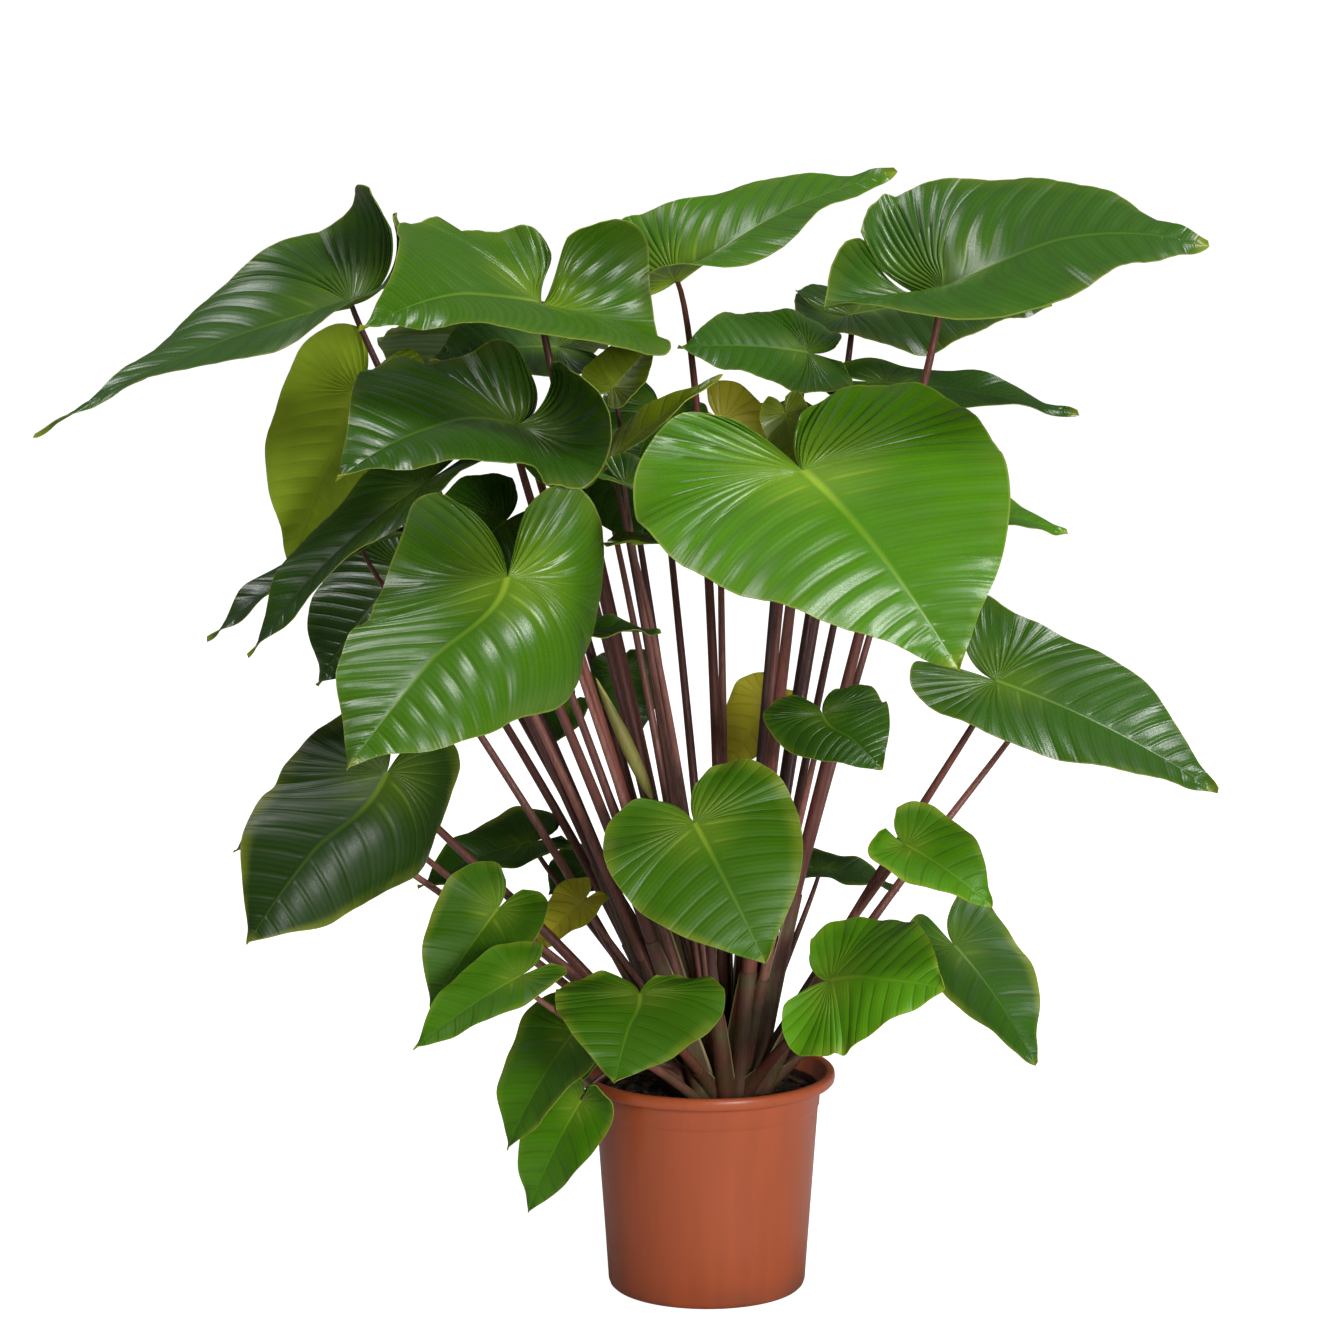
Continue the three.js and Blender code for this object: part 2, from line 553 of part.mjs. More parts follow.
// The route of a stalk: from the crown, nearly straight, to the underside of the blade at the sinus
function stalkRoute(leaf) {
  const joint = new THREE.Vector3(...leaf.joint);
  const along = new THREE.Vector3(...leaf.tip).sub(joint).normalize();
  const face = new THREE.Vector3(...leaf.face);
  face.addScaledVector(along, -face.dot(along)).normalize();
  const droop = THREE.MathUtils.degToRad(leaf.droop ?? 0) / 2;
  const normal = face.clone().multiplyScalar(Math.cos(droop)).addScaledVector(along, -Math.sin(droop));
  const hanging = Math.max(0, -Math.min(...bothSides(leaf.fold)));
  const seat = BLADE / 2 + STALK_SEAT + stalkRadii(leaf)[1] * Math.sin(hanging);
  const end = joint.clone().addScaledVector(normal, -seat);
  const base = new THREE.Vector3(
    CROWN_CENTRE.x + STALK_SPREAD * (joint.x - CROWN_CENTRE.x),
    CROWN_CENTRE.y + STALK_SPREAD * (joint.y - CROWN_CENTRE.y) * STALK_DEPTH_SPREAD,
    SOIL_LEVEL - STALK_ROOTING,
  );
  if (leaf.base) {
    base.set(leaf.base[0], leaf.base[1], SOIL_LEVEL - STALK_ROOTING);
  }
  const chord = new THREE.Vector3().subVectors(end, base);
  const reach = chord.length();
  chord.normalize();
  const leave = leaf.leave
    ? new THREE.Vector3(...leaf.leave)
    : chord.clone().add(new THREE.Vector3(0, 0, STALK_RISE));
  const arrive = leaf.arrive
    ? new THREE.Vector3(...leaf.arrive)
    : normal.clone().multiplyScalar(STALK_TURN).add(chord);
  leave.normalize();
  arrive.normalize();
  const bend = new THREE.Vector3(...(leaf.bend ?? [0, 0, 0]));
  const route = new THREE.CubicBezierCurve3(
    base,
    base.clone().addScaledVector(leave, reach * STALK_LEAVE).add(bend),
    end.clone().addScaledVector(arrive, -Math.min(STALK_CROOK, reach * STALK_ARRIVE)).add(bend),
    end,
  );
  return { route, normal };
}

// A closed tapering stalk along its route, which ends flush with the blade's underside
function makeStalk(leaf) {
  const { route, normal } = stalkRoute(leaf);
  const [footRadius, topRadius] = stalkRadii(leaf);
  const stations = [];
  for (let k = 0; k <= STALK_STEPS; k += 1) {
    const t = 1 - (1 - k / STALK_STEPS) ** STALK_CROWDING;
    const radius = topRadius + (footRadius - topRadius) * (1 - t) ** STALK_TAPER;
    stations.push([route.getPoint(t), radius]);
  }
  const positions = [];
  let side = new THREE.Vector3(1, 0, 0);
  stations.forEach(([point, radius], k) => {
    const before = stations[Math.max(0, k - 1)][0];
    const after = stations[Math.min(STALK_STEPS, k + 1)][0];
    const tangent = new THREE.Vector3().subVectors(after, before).normalize();
    if (k === STALK_STEPS) {
      tangent.copy(normal);
    }
    side.addScaledVector(tangent, -side.dot(tangent)).normalize();
    const other = new THREE.Vector3().crossVectors(tangent, side);
    for (let i = 0; i < STALK_SIDES; i += 1) {
      const angle = (2 * Math.PI * i) / STALK_SIDES;
      const corner = point.clone()
        .addScaledVector(side, radius * Math.cos(angle))
        .addScaledVector(other, radius * Math.sin(angle));
      positions.push(corner.x, corner.y, corner.z);
    }
  });
  const first = stations[0][0];
  const last = stations[STALK_STEPS][0];
  positions.push(first.x, first.y, first.z, last.x, last.y, last.z);
  const index = [];
  const low = STALK_SIDES * (STALK_STEPS + 1);
  for (let k = 0; k < STALK_STEPS; k += 1) {
    for (let i = 0; i < STALK_SIDES; i += 1) {
      const j = (i + 1) % STALK_SIDES;
      const a = k * STALK_SIDES + i;
      const b = k * STALK_SIDES + j;
      index.push(a, b, b + STALK_SIDES, a, b + STALK_SIDES, a + STALK_SIDES);
    }
  }
  for (let i = 0; i < STALK_SIDES; i += 1) {
    const j = (i + 1) % STALK_SIDES;
    index.push(low, j, i);
    index.push(low + 1, STALK_STEPS * STALK_SIDES + i, STALK_STEPS * STALK_SIDES + j);
  }
  return solidOf(geometryOf(positions, index));
}

// The rolled leaf: a spindle from just above its stalk to a fine point
function makeYoungLeaf() {
  const joint = new THREE.Vector3(...YOUNG_LEAF.joint);
  const tip = new THREE.Vector3(...YOUNG_LEAF.tip);
  const axis = new THREE.Vector3().subVectors(tip, joint);
  const profile = [[0, -BLADE / 2], [YOUNG_LEAF.radius * YOUNG_FOOT, -BLADE / 2]];
  for (let k = 1; k < YOUNG_STEPS; k += 1) {
    const t = k / YOUNG_STEPS;
    const swell = Math.sin(Math.PI * t ** YOUNG_BELLY) ** YOUNG_FULLNESS;
    profile.push([YOUNG_LEAF.radius * swell, t * axis.length()]);
  }
  profile.push([0, axis.length()]);
  const spindle = turned(profile, YOUNG_SIDES);
  const turn = new THREE.Quaternion().setFromUnitVectors(new THREE.Vector3(0, 0, 1), axis.normalize());
  spindle.applyQuaternion(turn);
  spindle.translate(joint.x, joint.y, joint.z);
  return spindle;
}

function makeStalks() {
  let clump = makeCrown();
  for (const leaf of [...LEAVES, YOUNG_LEAF_STALK]) {
    clump = clump.add(makeStalk(leaf));
  }
  return geometryOfSolid(clump);
}

const plant = new THREE.Group();

function place(name, geometry, colour, roughness) {
  const material = new THREE.MeshStandardMaterial({ color: colour, roughness, metalness: 0 });
  const mesh = new THREE.Mesh(geometry, material);
  mesh.name = name;
  plant.add(mesh);
}

place("pot", makePot(), "#a65a41", 0.45);
place("soil", makeSoil(), "#2a211b", 0.95);
place("stalks", makeStalks(), "#6e3c37", 0.5);
for (const leaf of LEAVES) {
  place(`leaf_${leaf.name}`, thicken(bladeSheet(leaf), BLADE), LEAF_COLOURS[leaf.tone ?? "deep"], 0.35);
}

place("young_leaf", makeYoungLeaf(), LEAF_COLOURS.yellow, 0.5);

export default plant;
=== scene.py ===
import math
import random

import bpy
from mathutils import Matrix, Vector


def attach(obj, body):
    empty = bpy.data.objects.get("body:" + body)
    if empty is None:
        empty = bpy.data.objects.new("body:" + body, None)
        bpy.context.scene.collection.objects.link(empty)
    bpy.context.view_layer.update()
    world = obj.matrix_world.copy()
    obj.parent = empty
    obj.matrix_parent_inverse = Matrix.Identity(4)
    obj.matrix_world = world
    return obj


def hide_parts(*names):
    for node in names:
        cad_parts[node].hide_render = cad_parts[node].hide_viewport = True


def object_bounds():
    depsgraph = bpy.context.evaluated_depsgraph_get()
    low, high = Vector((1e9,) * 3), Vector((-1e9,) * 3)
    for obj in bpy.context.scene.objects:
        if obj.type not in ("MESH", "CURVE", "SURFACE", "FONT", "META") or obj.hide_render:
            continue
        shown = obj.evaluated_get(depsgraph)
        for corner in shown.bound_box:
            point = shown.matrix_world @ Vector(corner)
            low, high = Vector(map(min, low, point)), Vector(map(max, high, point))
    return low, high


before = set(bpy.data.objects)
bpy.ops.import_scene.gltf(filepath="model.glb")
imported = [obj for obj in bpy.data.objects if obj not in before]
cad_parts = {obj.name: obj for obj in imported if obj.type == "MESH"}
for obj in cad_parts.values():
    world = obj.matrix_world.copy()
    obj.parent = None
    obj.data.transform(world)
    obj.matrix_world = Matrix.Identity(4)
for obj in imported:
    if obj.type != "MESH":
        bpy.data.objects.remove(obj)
cad_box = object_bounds()

# The pot: a common nursery container of seven and a half litres, blow-moulded in
# terracotta-coloured plastic. It is one thin shell with a rolled lip, a small step under it
# and eight drain holes round its floor.
POT_COLOUR = "#c05c33"
POT_STREAK_COLOUR = "#8c4831"
POT_INSIDE_SHADED_COLOUR = "#3a2119"
POT_DUST_COLOUR = "#7a5240"
POT_SIDES = 128
POT_START = (0.055, 0.0015)
POT_SKIN = [
    (0.0580, 0.0000), (0.0920, 0.0000), (0.0953, 0.0010), (0.0974, 0.0030), (0.0988, 0.0070),
    (0.1027, 0.0650), (0.1071, 0.1250), (0.1112, 0.1840), (0.1115, 0.1856), (0.1121, 0.1866),
    (0.1126, 0.1880), (0.1133, 0.2040), (0.1138, 0.2066), (0.1150, 0.2084), (0.1180, 0.2091),
    (0.1235, 0.2093), (0.1262, 0.2100), (0.1276, 0.2116), (0.1280, 0.2138), (0.1280, 0.2172),
    (0.1276, 0.2196), (0.1264, 0.2213), (0.1244, 0.2220), (0.1220, 0.2219), (0.1204, 0.2209),
    (0.1192, 0.2188), (0.1156, 0.2090), (0.1126, 0.2060), (0.1114, 0.2040), (0.1102, 0.1875),
    (0.1090, 0.1850), (0.1046, 0.1250), (0.1002, 0.0650), (0.0962, 0.0090), (0.0952, 0.0060),
    (0.0930, 0.0040), (0.0560, 0.0040),
]
POT_SMOOTH_ANGLE = math.radians(40)
DRAIN_HOLES = 8
DRAIN_RADIUS = 0.006
DRAIN_CIRCLE = 0.072


def linear(code):
    """The colour of a hex code as the shader takes it."""
    channels = [int(code[i:i + 2], 16) / 255 for i in (1, 3, 5)]
    return [c / 12.92 if c <= 0.04045 else ((c + 0.055) / 1.055) ** 2.4 for c in channels] + [1]


def add_node(tree, kind, inputs, **settings):
    """A node in a tree, with its settings, and its inputs set or linked from other sockets."""
    node = tree.nodes.new(kind)
    for name, value in settings.items():
        setattr(node, name, value)
    for name, value in inputs.items():
        if isinstance(value, bpy.types.NodeSocket):
            tree.links.new(value, node.inputs[name])
        else:
            node.inputs[name].default_value = value
    return node


def sums(tree, operation, *values):
    """The result of a Math node on one to three values."""
    return add_node(tree, "ShaderNodeMath", dict(enumerate(values)), operation=operation).outputs[0]


def product(tree, first, second):
    """Two values multiplied."""
    return sums(tree, "MULTIPLY", first, second)


def split(tree, vector):
    """The X, Y and Z of a vector."""
    return add_node(tree, "ShaderNodeSeparateXYZ", {0: vector}).outputs


def ramped(tree, value, start, end, low=0.0, high=1.0):
    """A value taken smoothly from low at start to high at end."""
    inputs = {"Value": value, "From Min": start, "From Max": end, "To Min": low, "To Max": high}
    node = add_node(tree, "ShaderNodeMapRange", inputs, interpolation_type="SMOOTHSTEP")
    return node.outputs["Result"]


def blended(tree, amount, first, second):
    """The first colour mixed with the second by an amount."""
    node = add_node(tree, "ShaderNodeMix", {}, data_type="RGBA")
    for index, value in ((0, amount), (6, first), (7, second)):
        if isinstance(value, bpy.types.NodeSocket):
            tree.links.new(value, node.inputs[index])
        else:
            node.inputs[index].default_value = value
    return node.outputs[2]


def new_group(name, inputs, outputs):
    """An empty shader group with its sockets, and its input and output nodes."""
    tree = bpy.data.node_groups.new(name, "ShaderNodeTree")
    for socket, kind in inputs:
        tree.interface.new_socket(socket, in_out="INPUT", socket_type=kind)
    for socket in outputs:
        tree.interface.new_socket(socket, in_out="OUTPUT", socket_type="NodeSocketFloat")
    return tree, tree.nodes.new("NodeGroupInput"), tree.nodes.new("NodeGroupOutput")


def new_material(name, roughness=0.5):
    """A material with only its Principled shader, and the object's own coordinates."""
    material = bpy.data.materials.new(name)
    material.use_nodes = True
    tree = material.node_tree
    shader = tree.nodes["Principled BSDF"]
    shader.inputs["Roughness"].default_value = roughness
    place = tree.nodes.new("ShaderNodeTexCoord").outputs["Object"]
    return material, tree, shader, place


def finished(tree, shader, colour, roughness, relief, strength, distance):
    """Gives the shader its colour, its roughness, and a relief of a strength and depth."""
    inputs = {"Height": relief, "Strength": strength, "Distance": distance}
    normal = add_node(tree, "ShaderNodeBump", inputs).outputs["Normal"]
    for name, value in (("Base Color", colour), ("Roughness", roughness), ("Normal", normal)):
        tree.links.new(value, shader.inputs[name])


# Marks that every surface here has in its own measure: broad patches, streaks that run up
# and down, and fine grain.
marks, marks_in, marks_out = new_group(
    "surface_marks",
    [("Place", "NodeSocketVector"), ("Patch Scale", "NodeSocketFloat"),
     ("Streak Scale", "NodeSocketFloat"), ("Grain Scale", "NodeSocketFloat")],
    ["Patches", "Streaks", "Grain"],
)
stretched = add_node(marks, "ShaderNodeVectorMath",
                     {0: marks_in.outputs["Place"], 1: (1, 1, 0.06)}, operation="MULTIPLY")
for output, vector, scale, detail in (
        ("Patches", marks_in.outputs["Place"], "Patch Scale", 3),
        ("Streaks", stretched.outputs[0], "Streak Scale", 4),
        ("Grain", marks_in.outputs["Place"], "Grain Scale", 2)):
    noise = add_node(marks, "ShaderNodeTexNoise",
                     {"Vector": vector, "Scale": marks_in.outputs[scale], "Detail": detail})
    spread = ramped(marks, noise.outputs["Fac"], 0.3, 0.7)
    marks.links.new(spread, marks_out.inputs[output])


def surface_marks(tree, place, patch, streak, grain):
    """The group's masks in a material: patches, streaks and grain."""
    node = tree.nodes.new("ShaderNodeGroup")
    node.node_tree = marks
    tree.links.new(place, node.inputs["Place"])
    for name, scale in (("Patch Scale", patch), ("Streak Scale", streak), ("Grain Scale", grain)):
        node.inputs[name].default_value = scale
    return node.outputs["Patches"], node.outputs["Streaks"], node.outputs["Grain"]


bpy.ops.object.select_all(action="DESELECT")
bpy.ops.mesh.primitive_circle_add(vertices=POT_SIDES, radius=POT_START[0], fill_type="NGON",
                                  location=(0, 0, POT_START[1]))
pot = bpy.context.object
pot.name = "nursery_pot"
bpy.ops.object.transform_apply(location=True, rotation=True, scale=True)
bpy.ops.object.mode_set(mode="EDIT")
radius, height = POT_START
for next_radius, next_height in POT_SKIN:
    growth = next_radius / radius
    bpy.ops.mesh.extrude_region_move(
        TRANSFORM_OT_translate={"value": (0, 0, next_height - height)})
    bpy.ops.transform.resize(value=(growth, growth, 1), center_override=(0, 0, 0))
    radius, height = next_radius, next_height
bpy.ops.mesh.select_all(action="SELECT")
bpy.ops.mesh.normals_make_consistent(inside=False)
bpy.ops.object.mode_set(mode="OBJECT")

bpy.ops.object.select_all(action="DESELECT")
for i in range(DRAIN_HOLES):
    angle = math.tau * i / DRAIN_HOLES
    bpy.ops.mesh.primitive_cylinder_add(
        vertices=28, radius=DRAIN_RADIUS, depth=0.02,
        location=(DRAIN_CIRCLE * math.cos(angle), DRAIN_CIRCLE * math.sin(angle), 0.002))
    if i == 0:
        drill = bpy.context.object
    else:
        drill.select_set(True)
        bpy.context.view_layer.objects.active = drill
        bpy.ops.object.join()
holes = pot.modifiers.new("drain_holes", "BOOLEAN")
holes.operation = "DIFFERENCE"
holes.object = drill
bpy.ops.object.select_all(action="DESELECT")
pot.select_set(True)
bpy.context.view_layer.objects.active = pot
bpy.ops.object.modifier_apply(modifier=holes.name)
bpy.data.objects.remove(drill)
bpy.ops.object.shade_smooth_by_angle(angle=POT_SMOOTH_ANGLE)

# The inner wall and floor take a near-black brown: partly soil stain, partly painted shade inside
# the pot.
for name, colour in (("terracotta_plastic", POT_COLOUR), ("plastic_inside_stained_and_shaded", POT_INSIDE_SHADED_COLOUR)):
    material, tree, shader, place = new_material(name)
    patches, streaks, grain = surface_marks(tree, place, 14, 60, 1400)
    at = split(tree, place)
    body = blended(tree, product(tree, streaks, 0.2), linear(colour), linear(POT_STREAK_COLOUR))
    dusty = product(tree, ramped(tree, at["Z"], 0.03, 0.0), patches)
    body = blended(tree, product(tree, dusty, 0.6), body, linear(POT_DUST_COLOUR))
    seam = ramped(tree, sums(tree, "ABSOLUTE", at["Y"]), 0.0008, 0.0002)
    relief = sums(tree, "ADD", product(tree, grain, 0.25),
                  sums(tree, "ADD", seam, product(tree, streaks, 0.2)))
    finished(tree, shader, body, ramped(tree, patches, 0, 1, 0.3, 0.42), relief, 0.25, 0.0006)
    pot.data.materials.append(material)
# Faces inside the wall and on the inner floor take the stained and shaded material.
for face in pot.data.polygons:
    outward = face.normal.x * face.center.x + face.normal.y * face.center.y
    inner = outward < -0.01 and face.center.z < 0.2
    face.material_index = 1 if inner or (face.normal.z > 0.5 and face.center.z < 0.01) else 0
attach(pot, "root")
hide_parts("pot")

# The potting soil: peat with bark, watered and settled about two fingers under the lip. It
# is one body that fills the pot, and loose crumbs of bark lie on it.
SOIL_COLOUR = "#1d1510"
SOIL_DRY_COLOUR = "#3a2b20"
SOIL_FOOT = 0.0045
SOIL_LEVEL = 0.199
SOIL_FOOT_RADIUS = 0.0918
SOIL_RADIUS = 0.1072
SOIL_LOOSE_RADIUS = 0.1055
SOIL_RINGS = 44
BARK_COLOUR = "#241812"
BARK_PALE_COLOUR = "#5a3d28"
CRUMBS = 520

bpy.ops.object.select_all(action="DESELECT")
bpy.ops.mesh.primitive_circle_add(vertices=160, radius=SOIL_FOOT_RADIUS, fill_type="NGON",
                                  location=(0, 0, SOIL_FOOT))
soil = bpy.context.object
soil.name = "potting_soil"
bpy.ops.object.transform_apply(location=True, rotation=True, scale=True)
bpy.ops.object.mode_set(mode="EDIT")
bpy.ops.mesh.extrude_region_move(
    TRANSFORM_OT_translate={"value": (0, 0, SOIL_LEVEL - SOIL_FOOT)})
growth = SOIL_RADIUS / SOIL_FOOT_RADIUS
bpy.ops.transform.resize(value=(growth, growth, 1), center_override=(0, 0, 0))
for ring in range(SOIL_RINGS):
    inwards = (SOIL_RINGS - ring - 0.5) / (SOIL_RINGS - ring + 0.5)
    bpy.ops.mesh.extrude_region_move(TRANSFORM_OT_translate={"value": (0, 0, 0)})
    bpy.ops.transform.resize(value=(inwards, inwards, 1), center_override=(0, 0, 0))
bpy.ops.mesh.select_all(action="SELECT")
bpy.ops.mesh.normals_make_consistent(inside=False)
bpy.ops.object.mode_set(mode="OBJECT")
surface = soil.vertex_groups.new(name="surface")
surface.add([v.index for v in soil.data.vertices
             if v.co.z > 0.19 and math.hypot(v.co.x, v.co.y) < SOIL_LOOSE_RADIUS], 1, "REPLACE")
for name, size, strength in (("clods", 0.016, 0.011), ("crumb", 0.004, 0.0045)):
    noise = bpy.data.textures.new(name, "CLOUDS")
    noise.noise_scale = size
    noise.noise_depth = 3
    lift = soil.modifiers.new(name, "DISPLACE")
    lift.texture = noise
    lift.strength = strength
    lift.direction = "Z"
    lift.vertex_group = "surface"
    bpy.ops.object.modifier_apply(modifier=lift.name)
bpy.ops.object.shade_smooth()

material, tree, shader, place = new_material("damp_peat", 0.9)
patches, _, grain = surface_marks(tree, place, 60, 200, 900)
peat = blended(tree, product(tree, patches, grain), linear(SOIL_COLOUR), linear(SOIL_DRY_COLOUR))
finished(tree, shader, peat, ramped(tree, patches, 0, 1, 0.8, 0.97),
         sums(tree, "ADD", grain, patches), 0.8, 0.0015)
soil.data.materials.append(material)
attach(soil, "root")
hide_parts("soil")

dice = random.Random(5)
bpy.ops.object.select_all(action="DESELECT")
bpy.ops.mesh.primitive_ico_sphere_add(subdivisions=1, radius=1, location=(0, 0, 0))
crumbs = bpy.context.object
crumbs.name = "bark_crumbs"
corners = [v.co.copy() for v in crumbs.data.vertices]
faces = [tuple(face.vertices) for face in crumbs.data.polygons]
points = []
triangles = []
for i in range(CRUMBS):
    reach = 0.1 * math.sqrt(dice.random())
    angle = math.tau * dice.random()
    middle = Vector((reach * math.cos(angle), reach * math.sin(angle), SOIL_LEVEL + 0.0015))
    size = 0.001 + 0.003 * dice.random() ** 2
    long_side = 1 + 1.8 * dice.random()
    turn = math.tau * dice.random()
    start = len(points)
    for corner in corners:
        rough = size * (0.7 + 0.6 * dice.random())
        x = corner.x * rough * long_side
        y = corner.y * rough
        points.append(middle + Vector((x * math.cos(turn) - y * math.sin(turn),
                                       x * math.sin(turn) + y * math.cos(turn),
                                       corner.z * rough * 0.6)))
    triangles += [tuple(start + k for k in face) for face in faces]
crumbs.data.clear_geometry()
crumbs.data.from_pydata(points, [], triangles)

material, tree, shader, place = new_material("wet_bark", 0.8)
patches, _, grain = surface_marks(tree, place, 90, 300, 1500)
bark = blended(tree, patches, linear(BARK_COLOUR), linear(BARK_PALE_COLOUR))
finished(tree, shader, bark, ramped(tree, grain, 0, 1, 0.65, 0.9), grain, 0.6, 0.0008)
crumbs.data.materials.append(material)
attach(crumbs, "root")
